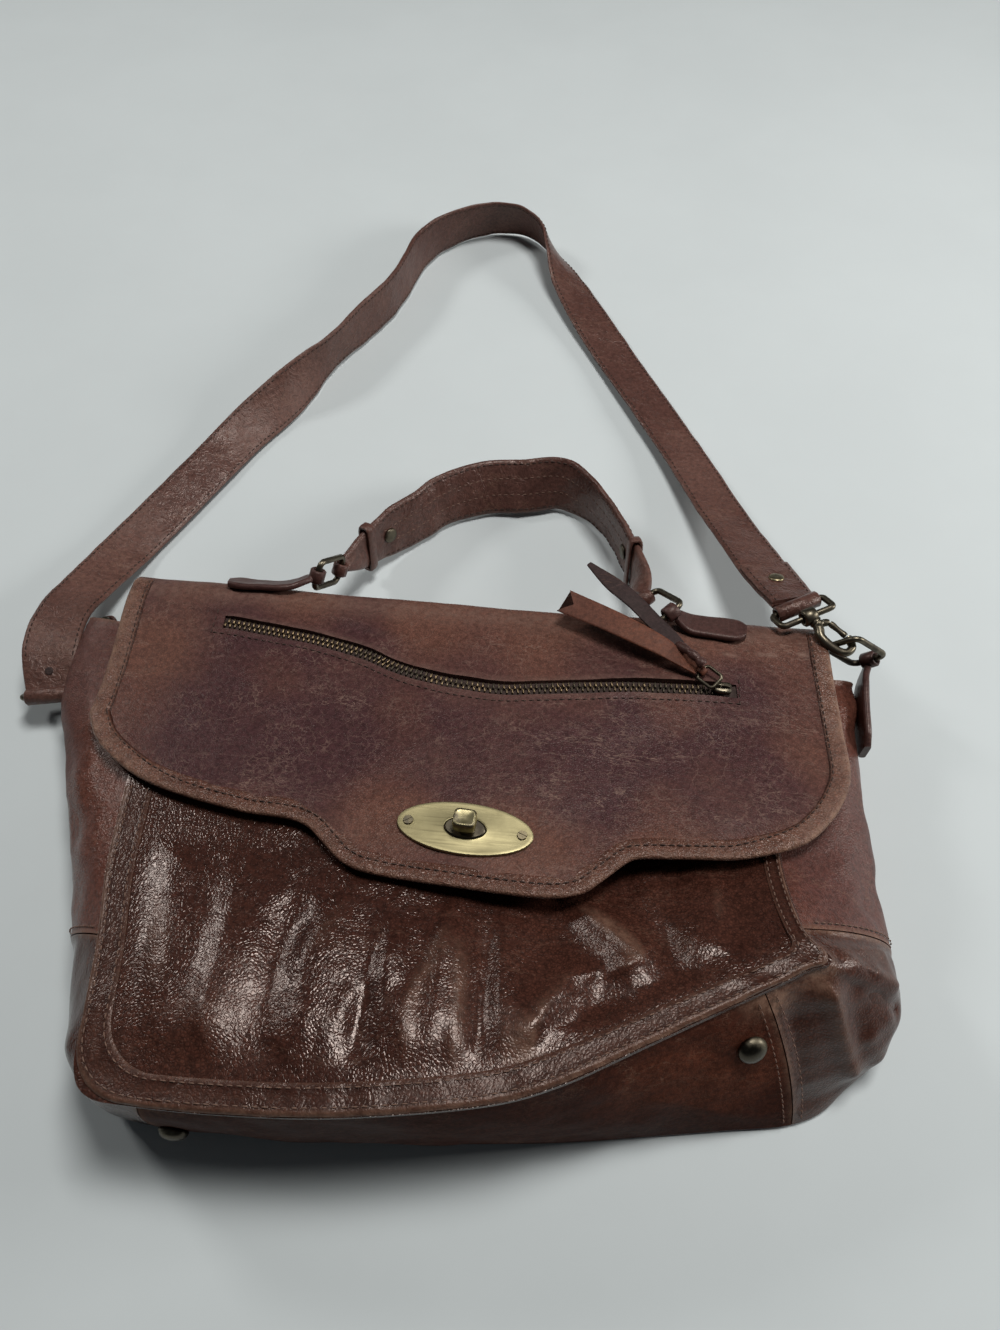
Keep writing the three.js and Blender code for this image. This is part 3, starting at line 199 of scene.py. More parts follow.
TASSEL_FRONT_LINE = np.array([
    [112, 91, 56.5, 4, 8], [102, 94.6, 59.2, 0, 9.5], [94, 99.2, 60.2, -3, 11], [73.5, 110.6, 59, -6, 13],
    [44, 126, 55, -10, 14],
], float)
TASSEL_BACK_LINE = np.array([
    [107.5, 97, 56.6, 6, 7], [101.5, 104.7, 57, 8, 8.5], [92, 115, 57, 6, 9.5], [81.5, 127, 56.5, 4, 9.5],
    [68.5, 139.5, 56, 3, 9], [55.8, 151.7, 55, 2, 3],
], float)
TAB_LEFT_LINE = np.array([
    [-138, 126.4, 47.5, -40, 8], [-132, 126.8, 46.9, -40, 14], [-118, 127.3, 45.9, -40, 14],
    [-106, 128.8, 45.6, -40, 14], [-95.5, 134.6, 46.2, -40, 8],
], float)
TAB_RIGHT_LINE = np.array([
    [104.5, 124.4, 51.2, -14, 8], [112, 121.2, 49.8, -16, 15], [124, 120.2, 49.5, -16, 16],
    [135, 119.2, 49.9, -16, 16], [140, 118.7, 50.1, -16, 8],
], float)
SIDE_TAB_RIGHT_LINE = np.array([
    [207, 114, 33, 90, 7], [204.6, 105, 29.5, 90, 18], [203.4, 90, 28, 90, 20], [203.1, 74, 27, 90, 20],
    [203.1, 66, 27, 90, 12],
], float)
SIDE_TAB_LEFT_LINE = np.array([
    [-210.5, 114, 12, 110, 4], [-206.4, 105, 13.9, 140, 10], [-209.4, 92, 16.5, 140, 11],
    [-209.7, 83, 16.9, 140, 11], [-209.5, 78, 16.9, 140, 7],
], float)

# Chain points: where each leather loop or hook holds a ring, then the ways that hooks and rings lie.
HANDLE_LOOP_LEFT = np.array([-84, 153.5, 31])
HANDLE_LOOP_RIGHT = np.array([88, 140.5, 43])
TAB_LOOP_LEFT = np.array([-92, 137.5, 44.5])
TAB_LOOP_RIGHT = np.array([100, 124, 54.8])
STRAP_LOOP_RIGHT = np.array([167.5, 138, 49.5])
HOOK_ROOT_RIGHT = np.array([172, 128.8, 54])
SIDE_LOOP_RIGHT = np.array([208, 117.5, 35])
STRAP_LOOP_LEFT = np.array([-227, 62.5, 20])
HOOK_ROOT_LEFT = np.array([-228, 71, 10.5])
SIDE_LOOP_LEFT = np.array([-213.5, 116.5, 11.5])
HOOK_HEADING_RIGHT = np.array([23, -19.5, -3])
HOOK_HEADING_LEFT = np.array([0.1, 0.99, 0])
HOOK_SIDE_RIGHT = np.array([-0.7, -0.7, 0])
HOOK_SIDE_LEFT = np.array([1, -0.1, 0])
STRAP_SIDE_RIGHT = np.array([0.9, 0.42, 0.1])
STRAP_SIDE_LEFT = np.array([0.985, 0.17, 0.05])
HANDLE_SIDE_RIGHT = np.array([0.75, 0.6, 0.25])
RING_SIDE_RIGHT = np.array([0.55, -0.1, 0.7])

# Metal and loops
LEAST_RADIUS = 0.02
WIRE = 1.7
BORE = 2.4
LOOP_WALL = 2.0
HOOK_WIRE = 2.1
HOOK_EYE = 5.2
HOOK_LENGTH = 27.5
EYE_START = 9.5
GATE_WIRE = 1.6
GATE_ALONG = EYE_START + 1.9
GATE_REACH = HOOK_LENGTH - 6 - GATE_ALONG - 1.3
LOCK_PLACE = np.array([7.3, -10.7, 63.69])
LOCK_TURN = math.radians(-3)
SLIDER_X = 126.0
FEET = {
    "foot_left": (8.2, 0.3),
    "foot_right": (14.55, 0.7),
}
STRAP_END_WIDTH = 25.0
STRAP_RING_HALF = 15.3
HANDLE_RING_HALF = 8.0
HANDLE_LOOP_WIDTH = 7.5


# Numbers and curves

def smooth(value):
    """An eased step from 0 to 1."""
    share = np.clip(value, 0, 1)
    return share * share * (3 - 2 * share)


def hump(away, reach):
    """A soft hump, 1 high where away is 0."""
    return np.exp(-(away / reach) ** 2)


def unit(vectors):
    vectors = np.asarray(vectors, float)
    return vectors / np.maximum(np.linalg.norm(vectors, axis=-1, keepdims=True), 1e-9)


def matched(a, b):
    return np.broadcast_arrays(np.asarray(a, float), np.asarray(b, float))


def circle(sides):
    return np.linspace(0, 2 * math.pi, sides, endpoint=False)


def squared(angle, power):
    """Cosine and sine of the angles, one row each, pushed towards a square by a power below 1."""
    wave = np.array([np.cos(angle), np.sin(angle)])
    return np.sign(wave) * np.abs(wave) ** power


def level(plan, z):
    """Points of a plan view at one height."""
    return np.column_stack([plan, np.full(len(plan), z)])


def along(rows, t):
    """Smooth curve through the rows of a table, with t counted in rows."""
    t = np.asarray(t, float)
    last = len(rows) - 1
    i = np.clip(np.floor(t).astype(int), 0, last - 1)
    f = (t - i)[..., None]
    a, b = rows[np.maximum(i - 1, 0)], rows[i]
    c, d = rows[i + 1], rows[np.minimum(i + 2, last)]
    return b + 0.5 * f * (c - a + f * (2 * a - 5 * b + 4 * c - d + f * (3 * (b - c) + d - a)))


def run_lengths(route):
    """Length of a line from its start to each of its points."""
    return np.concatenate([[0], np.cumsum(np.linalg.norm(np.diff(route, axis=0), axis=-1))])


def at_shares(route, share):
    """Points of a line at shares of its length."""
    lengths = run_lengths(route)
    want = np.asarray(share) * lengths[-1]
    return np.stack([np.interp(want, lengths, column) for column in route.T], -1)


def ripple(points, wave, seed, count=6):
    """Soft random waves, about one unit high, at a wave length."""
    draw = np.random.default_rng(seed)
    total = np.zeros(points.shape[:-1])
    for _ in range(count):
        direction = unit(draw.normal(size=3))
        length = wave * draw.uniform(0.7, 1.5)
        total += np.sin(points @ direction * (2 * math.pi / length) + draw.uniform(0, 2 * math.pi))
    return total / math.sqrt(count)


def fold_height(points, folds):
    """Height of ridges along straight lines in the plan view, gentler on their right than on their left."""
    x, y = points[..., 0], points[..., 1]
    total = np.zeros(x.shape)
    for x0, y0, x1, y1, spread, high, sharpness in folds:
        dx, dy = x1 - x0, y1 - y0
        share = np.clip(((x - x0) * dx + (y - y0) * dy) / (dx * dx + dy * dy), 0, 1)
        away = np.hypot(x - x0 - share * dx, y - y0 - share * dy)
        right = smooth((dx * (y - y0) - dy * (x - x0)) / math.hypot(dx, dy) / 3 + 0.5)
        away /= spread * (0.85 + 0.9 * right)
        total += high * np.exp(-(away ** sharpness)) * (0.45 + 0.55 * np.sin(math.pi * share) ** 0.7)
    return total


def ridge_height(points, ridges):
    """Height of ridges along straight lines in space."""
    total = np.zeros(points.shape[:-1])
    for start, end, spread, high, sharpness in ridges:
        start, step = np.array(start, float), np.subtract(end, start).astype(float)
        share = np.clip((points - start) @ step / (step @ step), 0, 1)
        away = np.linalg.norm(points - start - share[..., None] * step, axis=-1)
        total += high * np.exp(-((away / spread) ** sharpness))
    return total


def grid_normals(grid):
    return unit(np.cross(np.gradient(grid, axis=0), np.gradient(grid, axis=1)))


def upward(normals):
    """The same normals, turned over where they point down."""
    return normals * np.where(normals[..., 2:] < 0, -1, 1)


def surface_normal(point, a, b, last_a, step):
    """Normal of a surface, measured over small steps. a runs from 0 to last_a and b from 0 to 1."""
    a, b = matched(a, b)
    by_a = point(np.minimum(last_a, a + step), b) - point(np.maximum(0, a - step), b)
    by_b = point(a, np.minimum(1, b + step)) - point(a, np.maximum(0, b - step))
    return unit(np.cross(by_a, by_b))


# Surfaces of the bag

def body_point(t, s):
    """The bag's side: t counts sections and s runs from the back edge to the front edge."""
    t, s = matched(t, s)
    row = along(SECTIONS, t)
    back = np.stack([row[..., 0], row[..., 1], np.full(t.shape, SEAT)], -1)
    widest = row[..., 2:5]
    front = row[..., 5:8] - [0, 0, EDGE_DROP]
    pull = 2 * widest - 0.5 * back - 0.5 * front
    s = s[..., None]
    return back * (1 - s) ** 2 + pull * 2 * s * (1 - s) + front * s * s


def body_normal(t, s):
    return surface_normal(body_point, t, s, LAST_SECTION, 0.02)


def front_edge(t):
    return along(SECTIONS, t)[..., 5:8]


def even_spacing(t0, t1):
    """Sections at even lengths along the front edge."""
    t = np.linspace(t0, t1, 400)
    lengths = run_lengths(front_edge(t))
    return lambda share: np.interp(share * lengths[-1], lengths, t)


left_spacing = even_spacing(0, CORNER_LEFT)
right_spacing = even_spacing(LAST_SECTION, CORNER_RIGHT)
bottom_spacing = even_spacing(CORNER_LEFT, CORNER_RIGHT)


def crumple(points):
    """Soft wrinkles, longer down the panel than across it."""
    drawn = points * [1.0, 0.45, 1.0]
    broad = np.abs(ripple(drawn, 46, 5)) - 0.56
    return 0.8 * broad + 0.30 * ripple(drawn, 17, 6) + 0.05 * ripple(points, 8, 7)


def panel_point(u, v):
    """The front panel's face: u from left to right and v from the mouth to the bottom edge."""
    u, v = matched(u, v)
    a, b = u[..., None], v[..., None]
    low = front_edge(CORNER_LEFT) * (1 - a) + front_edge(CORNER_RIGHT) * a
    sides = front_edge(left_spacing(v)) * (1 - a) + front_edge(right_spacing(v)) * a
    p = sides + (front_edge(bottom_spacing(u)) - low) * b
    rise = PANEL_BULGE - PANEL_HOLLOW * smooth((u - 0.4) / 0.35)
    p[..., 2] += rise * np.sin(math.pi * np.clip(u, 0, 1)) ** 0.6 * np.sin(math.pi * np.clip(v, 0, 1))
    inset = np.minimum.reduce([u - 0.05, 0.95 - u, 0.94 - v, v - 0.5])
    p[..., 2] += smooth(9 * inset) * fold_height(p, FOLDS)
    p[..., 2] += smooth(16 * inset) * (fold_height(p, CREASES) + crumple(p))
    return p


def panel_normal(u, v):
    return upward(surface_normal(panel_point, u, v, 1, 0.004))


def flap_shift(y):
    """How far the flap leans aside: to the left by its top fold and a little to the right below."""
    top_shift, swing, top_y, run = -4, 4.5, 128, 91
    return top_shift + swing * smooth((top_y - y) / run)


def flap_settle(x, y):
    """How far the flap sags in the middle of its top and droops at the sides of its front."""
    top_y, run = 125, 65
    across = np.minimum(1, np.abs((x - flap_shift(y)) / FLAP_HALF))
    forward = smooth((top_y - y) / run)
    sag = FLAP_SAG * np.cos(math.pi / 2 * across) ** 2 * (1 - forward)
    return -sag - FLAP_DROOP * across ** 3 * forward


def flap_height(x, y):
    turned = np.interp(y, FLAP_TURN[:3:-1, 0], FLAP_TURN[:3:-1, 1])
    flat = FLAP_FRONT_Z + FLAP_SLOPE * (FLAP_FRONT_Y - y)
    return np.where(y > FLAP_FRONT_Y, turned, flat) + flap_settle(x, y)


def flap_place(x, y):
    x, y = matched(x, y)
    return np.stack([x, y, flap_height(x, y)], -1)


def zip_y(x):
    """The zip's middle line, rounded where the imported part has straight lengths."""
    x = np.asarray(x, float)
    reach = np.linspace(-8, 8, 9)
    return np.mean([np.interp(x + r, ZIP_LINE[:, 0], ZIP_LINE[:, 1]) for r in reach], axis=0)


# Meshes. A shell is an array of points and a list of faces.

def merged(*shells):
    points, faces, start = [], [], 0
    for shell_points, shell_faces in shells:
        points.append(np.asarray(shell_points, float).reshape(-1, 3))
        faces += [tuple(i + start for i in face) for face in shell_faces]
        start += len(points[-1])
    return np.concatenate(points), faces


def wall(outer, inner, keep=None):
    """A closed wall between two grids of the same size. keep says which cells are there."""
    rows, columns = outer.shape[0] - 1, outer.shape[1] - 1
    keep = np.ones((rows, columns), bool) if keep is None else keep
    near = np.arange((rows + 1) * (columns + 1)).reshape(rows + 1, columns + 1)
    far = near + near.size
    there = np.pad(keep, 1)
    neighbours = ((1, 0), (2, 1), (1, 2), (0, 1))
    faces = []
    for i, j in zip(*np.nonzero(keep)):
        corners = ((i, j), (i + 1, j), (i + 1, j + 1), (i, j + 1))
        front, back = [near[corner] for corner in corners], [far[corner] for corner in corners]
        faces += [tuple(front), (back[0], back[3], back[2], back[1])]
        for k, (down, over) in enumerate(neighbours):
            if not there[i + down, j + over]:
                n = (k + 1) % 4
                faces.append((front[n], front[k], back[k], back[n]))
    return np.concatenate([outer.reshape(-1, 3), inner.reshape(-1, 3)]), faces


def outside(values):
    """Marks for the points of a wall: the values on its outer side and none on its inner side."""
    return np.concatenate([values, 0 * values])


def loft(rings, closed=False):
    """A skin over a row of closed rings, capped at both ends unless the row itself closes."""
    rings = np.asarray(rings)
    count, around = rings.shape[:2]
    index = np.arange(count * around).reshape(count, around)
    faces = []
    for k in range(count if closed else count - 1):
        a, b = index[k], index[(k + 1) % count]
        faces += [(a[m], a[(m + 1) % around], b[(m + 1) % around], b[m]) for m in range(around)]
    if not closed:
        faces += [tuple(index[0][::-1]), tuple(index[-1])]
    return rings.reshape(-1, 3), faces


def rod(path, radius, sides=14, closed=False, normal=None):
    """A round bar along a path. radius may change along it."""
    path = np.asarray(path, float)
    radius = np.broadcast_to(np.asarray(radius, float), (len(path),))
    if closed:
        heading = unit(np.roll(path, -1, 0) - np.roll(path, 1, 0))
    else:
        heading = unit(np.gradient(path, axis=0))
    if normal is None:
        normal = UP if abs(heading[0] @ UP) < 0.9 else ACROSS
    side = unit(np.cross(heading, normal))
    lift = np.cross(side, heading)
    angle = circle(sides)[None, :, None]
    rings = side[:, None] * np.cos(angle) + lift[:, None] * np.sin(angle)
    return loft(path[:, None] + rings * radius[:, None, None], closed)


def lathe(profile, axis, place, sides=32, closed=False):
    """A turned shape: profile holds radius and height along the axis, and closes on itself if asked."""
    axis = unit(axis)
    side = unit(np.cross(axis, UP if abs(axis[2]) < 0.9 else ACROSS))
    angle = circle(sides)[:, None]
    spoke = side * np.cos(angle) + np.cross(axis, side) * np.sin(angle)
    rings = [np.asarray(place) + axis * h + spoke * max(r, LEAST_RADIUS) for r, h in profile]
    return loft(rings, closed)


def sleeve(place, axis, length, inner=BORE, outer=BORE + LOOP_WALL):
    """A short loop with rounded rims round a ring's bar."""
    half, rim = length / 2, 0.35 * (outer - inner)
    profile = [
        (inner, -half + rim), (inner + rim, -half), (outer - rim, -half), (outer, -half + rim),
        (outer, half - rim), (outer - rim, half), (inner + rim, half), (inner, half - rim),
    ]
    return lathe(profile, axis, place, 28, closed=True)


def ring_across(a, b, side):
    """The way across a ring that reaches from a to b, as near to side as it can be."""
    heading = unit(np.subtract(b, a))
    return unit(side - heading * np.dot(side, heading))


def oval_ring(a, b, side, half_width, wire=WIRE):
    """A flat ring whose two straight bars pass through the points a and b."""
    a, b = np.asarray(a, float), np.asarray(b, float)
    heading = unit(b - a)
    across = ring_across(a, b, side)
    half_length = np.linalg.norm(b - a) / 2
    corner = 0.45 * min(half_length, half_width)
    path = []
    for quarter, (ahead, aside) in enumerate([(1, 1), (-1, 1), (-1, -1), (1, -1)]):
        for angle in np.linspace(0, math.pi / 2, 9) + quarter * math.pi / 2:
            outward = heading * math.cos(angle) + across * math.sin(angle)
            path.append((a + b) / 2 + heading * ahead * (half_length - corner)
                        + across * aside * (half_width - corner) + outward * corner)
    return rod(path, wire, 14, True, np.cross(heading, across))


def band_frame(rows, t):
    """Centre, heading, across, face and half width of a band."""
    step = 0.2
    t = np.asarray(t, float)
    line, last = rows[:, :3], len(rows) - 1
    heading = unit(along(line, np.minimum(last, t + step)) - along(line, np.maximum(0, t - step)))
    flat = unit(np.cross(UP, heading))
    rise = unit(np.cross(heading, flat))
    row = along(rows, t)
    lean = np.radians(row[..., 3:4])
    across = flat * np.cos(lean) + rise * np.sin(lean)
    return row[..., :3], heading, across, unit(np.cross(heading, across)), row[..., 4:5] / 2


def ending_at(rows, loop, last, reach=BORE + 1.4):
    """The same centre line with its first or last row moved to the loop that it ends in."""
    rows = rows.copy()
    spot, beside = (len(rows) - 1, len(rows) - 2) if last else (0, 1)
    rows[spot, :3] = loop + unit(rows[beside, :3] - loop) * reach
    return rows


def band(rows, thickness, steps, t0=0.0, t1=None, lanes=12, relief=None, crown=0.0, lift=0.0, tip=None,
         grow=0.0):
    """A leather band with rounded edges. relief bends it, crown pads its faces and tip shapes its end."""
    t = np.linspace(t0, len(rows) - 1 if t1 is None else t1, steps + 1)
    centre, heading, across, face, half = band_frame(rows, t)
    lane = np.sin(np.linspace(-math.pi / 2, math.pi / 2, lanes + 1))
    rounding = np.sqrt(np.maximum(0, 1 - np.abs(lane) ** 14))
    a = np.concatenate([lane, lane[-2:0:-1]])[None, :, None]
    b = np.concatenate([rounding, -rounding[-2:0:-1]])[None, :, None]
    points = centre[:, None] + across[:, None] * (half + grow)[:, None] * a
    bend = relief(points) if relief else np.zeros(points.shape[:-1])
    height = b * thickness / 2 + np.sign(b) * crown * (1 - a ** 4) + lift
    points = points + face[:, None] * (height + bend[..., None])
    if tip:
        points = points + heading[:, None] * tip(t[:, None], a[..., 0])[..., None]
    return loft(points)


def band_line(rows, lane, side, thickness, t0, t1, steps, relief, lift):
    """A line of points along one face of a band."""
    centre, _, across, face, half = band_frame(rows, np.linspace(t0, t1, steps))
    points = centre + across * half * lane
    return points + face * (side * (thickness / 2 + lift) + relief(points)[:, None])


def stud(rows, t, thickness, side, radius, high, relief):
    """A flat-domed rivet head on one face of a band."""
    centre, _, _, face, _ = band_frame(rows, t)
    centre = centre + face * relief(centre)
    normal = face * side
    dome = ((1, 0), (1, 0.25), (0.93, 0.55), (0.8, 0.78), (0.62, 0.9), (0.3, 0.98), (0, 1))
    profile = [(0, -0.6), (radius * 0.6, -0.6)] + [(radius * r, high * h) for r, h in dome]
    return lathe(profile, normal, centre + normal * (thickness / 2 + 0.55))


def keeper(rows, t, thickness):
    """A narrow leather loop round a band."""
    centre, heading, across, face, half = band_frame(rows, t)
    wide, thick = float(half[0]) + 1.6, thickness / 2 + 1.5
    loop = squared(circle(40), np.array([[0.35], [0.5]]))
    profile = [(-3, -0.5), (-3, 0.5), (-2.3, 0.95), (0, 1.1), (2.3, 0.95), (3, 0.5), (3, -0.5),
               (2.3, -0.8), (-2.3, -0.8)]
    rings = [[centre + across * x * (wide + g) + face * z * (thick + g) + heading * h for h, g in profile]
             for x, z in loop.T]
    return loft(rings, closed=True)


def mesh_from(name, shell, marks):
    """A mesh in metres from a shell in millimetres. marks are kept per point."""
    points, faces = shell
    mesh = bpy.data.meshes.new(name)
    mesh.from_pydata((np.asarray(points) * MM).tolist(), [], [tuple(map(int, f)) for f in faces])
    for mark, values in marks.items():
        layer = mesh.attributes.new(mark, "FLOAT", "POINT")
        layer.data.foreach_set("value", np.asarray(values, np.float32).ravel())
    shape = bmesh.new()
    shape.from_mesh(mesh)
    bmesh.ops.delete(shape, geom=[v for v in shape.verts if not v.link_faces], context="VERTS")
    bmesh.ops.recalc_face_normals(shape, faces=shape.faces)
    shape.to_mesh(mesh)
    shape.free()
    return mesh


def settle(name, mesh, look_name, body, replaced):
    """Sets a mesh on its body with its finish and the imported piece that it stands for."""
    mesh.materials.clear()
    mesh.materials.append(finish(look_name))
    obj = bpy.data.objects.new(name, mesh)
    bpy.context.scene.collection.objects.link(obj)
    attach(obj, body)
    if replaced:
        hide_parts(name)


def piece(name, shell, look_name, body=BAG, slot_name=None, replaced=True, sharp=50, **marks):
    """Makes a piece from a shell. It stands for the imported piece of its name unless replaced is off."""
    mesh = mesh_from(name, shell, marks)
    mesh.polygons.foreach_set("use_smooth", [True] * len(mesh.polygons))
    mesh.set_sharp_from_angle(angle=math.radians(sharp))
    settle(name, mesh, look_name, body, replaced)


# Finishes

class Board:
    """Adds shader or geometry nodes to a tree and wires them."""

    def __init__(self, tree):
        self.tree = tree

    def feed(self, node, values):
        for key, value in values.items():
            if isinstance(value, bpy.types.NodeSocket):
                self.tree.links.new(value, node.inputs[key])
            else:
                node.inputs[key].default_value = value
        return node

    def node(self, kind, values=None, **settings):
        made = self.tree.nodes.new(kind)
        for key, value in settings.items():
            setattr(made, key, value)
        return self.feed(made, values or {})

    def math(self, operation, a, b=0.0, clamp=False):
        return self.node("ShaderNodeMath", {0: a, 1: b}, operation=operation, use_clamp=clamp).outputs[0]

    def times(self, a, b, clamp=False):
        return self.math("MULTIPLY", a, b, clamp)

    def plus(self, a, b, clamp=False):
        return self.math("ADD", a, b, clamp)

    def most(self, a, b):
        return self.math("MAXIMUM", a, b, True)

    def from_half(self, value):
        """How far a cloud is from its middle value."""
        return self.math("ABSOLUTE", self.math("SUBTRACT", value, 0.5))

    def remap(self, value, low, high, to_low=0.0, to_high=1.0):
        values = {"Value": value, "From Min": low, "From Max": high, "To Min": to_low, "To Max": to_high}
        return self.node("ShaderNodeMapRange", values, interpolation_type="SMOOTHSTEP").outputs["Result"]

    def thin(self, distance, width):
        """1 on a line, falling to 0 at a width away from it."""
        values = {"Value": distance, "From Max": width, "To Min": 1.0, "To Max": 0.0}
        return self.node("ShaderNodeMapRange", values).outputs["Result"]

    def blend(self, share, a, b):
        return self.node("ShaderNodeMix", {0: share, 6: a, 7: b}, data_type="RGBA").outputs[2]

    def attribute(self, name):
        return self.node("ShaderNodeAttribute", attribute_name=name).outputs["Fac"]

    def place(self):
        return self.node("ShaderNodeTexCoord").outputs["Object"]

    def moved(self, vector, **values):
        return self.node("ShaderNodeMapping", {"Vector": vector, **values}).outputs["Vector"]

    def noise(self, vector, scale, detail, output="Fac", **values):
        values.update({"Vector": vector, "Scale": scale, "Detail": detail})
        return self.node("ShaderNodeTexNoise", values).outputs[output]

    def warped(self, vector, scale, detail, share):
        """The same places, pushed about by a cloud."""
        values = {0: share, 4: vector, 5: self.noise(vector, scale, detail, "Color")}
        return self.node("ShaderNodeMix", values, data_type="VECTOR").outputs[1]

    def cell_edges(self, vector, scale):
        values = {"Vector": vector, "Scale": scale}
        return self.node("ShaderNodeTexVoronoi", values, feature="DISTANCE_TO_EDGE").outputs["Distance"]

    def bump(self, height, strength, depth):
        values = {"Height": height, "Strength": strength, "Distance": depth}
        return self.node("ShaderNodeBump", values).outputs["Normal"]


def grain_effect(board, given):
    """Pebbled leather: rounded cells, and a mask of the fine creases between them where the leather finish
    paints shade.
    """
    place = board.place()
    cells = board.cell_edges(board.warped(place, 260.0, 2.0, 0.0016), given["Scale"])
    dome = board.remap(cells, 0.0, given["Breadth"])
    patch = board.remap(board.noise(place, 60.0, 3.0), 0.3, 0.7, 0.45, 1.0)
    return board.times(dome, patch), board.math("SUBTRACT", 1.0, dome)


def scuff_effect(board, given):
    """Hairline scratches in three directions, gathered in patches."""
    place, mask = board.place(), 0.0
    for turn, stretch, offset in ((0.7, 0.16, 0.0), (-0.5, 0.22, 3.1), (1.5, 0.3, 7.7)):
        turned = board.moved(place, Location=(offset, offset, 0), Rotation=(0, 0, turn),
                             Scale=(stretch, 1.0, 1.0))
        lines = board.from_half(board.noise(turned, given["Scale"], 5.0, Roughness=0.7))
        patch = board.remap(board.noise(turned, 34.0, 3.0), 0.5, 0.68)
        mask = board.most(mask, board.times(board.thin(lines, given["Width"]), patch))
    return [mask]


def crackle_effect(board, given):
    """A net of hairline cracks in the dye, gathered in patches."""
    place, mask = board.place(), 0.0
    warped = board.warped(place, 160.0, 4.0, 0.011)
    for size, offset in ((1.0, 0.0), (0.45, 5.3)):
        cells = board.cell_edges(warped, board.times(given["Scale"], size))
        thin = board.thin(cells, board.times(given["Width"], size))
        patch = board.noise(board.moved(place, Location=(offset, 0, 0)), 45.0, 4.0, Roughness=0.65)
        mask = board.most(mask, board.times(thin, board.remap(patch, 0.42, 0.68)))
    return [mask]


def tone_effect(board, given):
    """Broad cloudy patches."""
    cloud = board.noise(board.place(), given["Scale"], 5.0, Roughness=0.62)
    return [board.remap(cloud, given["Low"], given["High"])]


def rub_effect(board, given):
    """Worn places: where the piece says that it is rubbed, broken up by a fine cloud."""
    cloud = board.noise(board.place(), given["Scale"], 5.0, Roughness=0.7)
    hold = board.plus(board.remap(cloud, 0.35, 0.65, -0.35, 0.45), 0.75)
    return [board.times(given["Rub"], hold, True)]


def wrinkle_effect(board, given):
    """Fine wrinkles: ridges of a stretched cloud."""
    cloud = board.noise(board.place(), given["Scale"], 3.0, Distortion=1.2)
    return [board.remap(board.from_half(cloud), 0.0, 0.16)]


def mottle_effect(board, given):
    """Fine uneven dye: a factor round one."""
    cloud = board.noise(board.place(), given["Scale"], 6.0, Roughness=0.65)
    return [board.plus(board.times(board.remap(cloud, 0.3, 0.7, -1.0, 1.0), given["Swing"]), 1.0)]


# Effects: how each is made, its inputs and its outputs.
EFFECTS = {
    "pebble grain": (grain_effect, {"Scale": 700.0, "Breadth": 0.3}, ("Height", "Crevice")),
    "hairline scuffs": (scuff_effect, {"Scale": 60.0, "Width": 0.012}, ("Mask",)),
    "crackle": (crackle_effect, {"Scale": 170.0, "Width": 0.042}, ("Mask",)),
    "tone patches": (tone_effect, {"Scale": 9.0, "Low": 0.4, "High": 0.62}, ("Mask",)),
    "rubbed edges": (rub_effect, {"Rub": 0.0, "Scale": 240.0}, ("Mask",)),
    "fine wrinkles": (wrinkle_effect, {"Scale": 120.0}, ("Height",)),
    "fine mottle": (mottle_effect, {"Scale": 450.0, "Swing": 0.3}, ("Factor",)),
}
TREES = {}


def effect_tree(name):
    """A shader group with named number sockets."""
    maker, inputs, outputs = EFFECTS[name]
    tree = bpy.data.node_groups.new(name, "ShaderNodeTree")
    for label, default in inputs.items():
        socket = tree.interface.new_socket(label, in_out="INPUT", socket_type="NodeSocketFloat")
        socket.default_value = default
    for label in outputs:
        tree.interface.new_socket(label, in_out="OUTPUT", socket_type="NodeSocketFloat")
    board = Board(tree)
    made = maker(board, board.node("NodeGroupInput").outputs)
    board.node("NodeGroupOutput", dict(zip(outputs, made)))
    return tree


def effect(board, name, **values):
    """Sets an effect on a board, made on its first use, and gives its outputs."""
    if name not in TREES:
        TREES[name] = effect_tree(name)
    group = board.node("ShaderNodeGroup", node_tree=TREES[name])
    return board.feed(group, values).outputs


def finish_start(name):
    material = bpy.data.materials.new(name)
    material.use_nodes = True
    return material, Board(material.node_tree), material.node_tree.nodes["Principled BSDF"]


def shaded(colour, share):
    return tuple(min(1.0, share * c) for c in colour[:3]) + (1.0,)


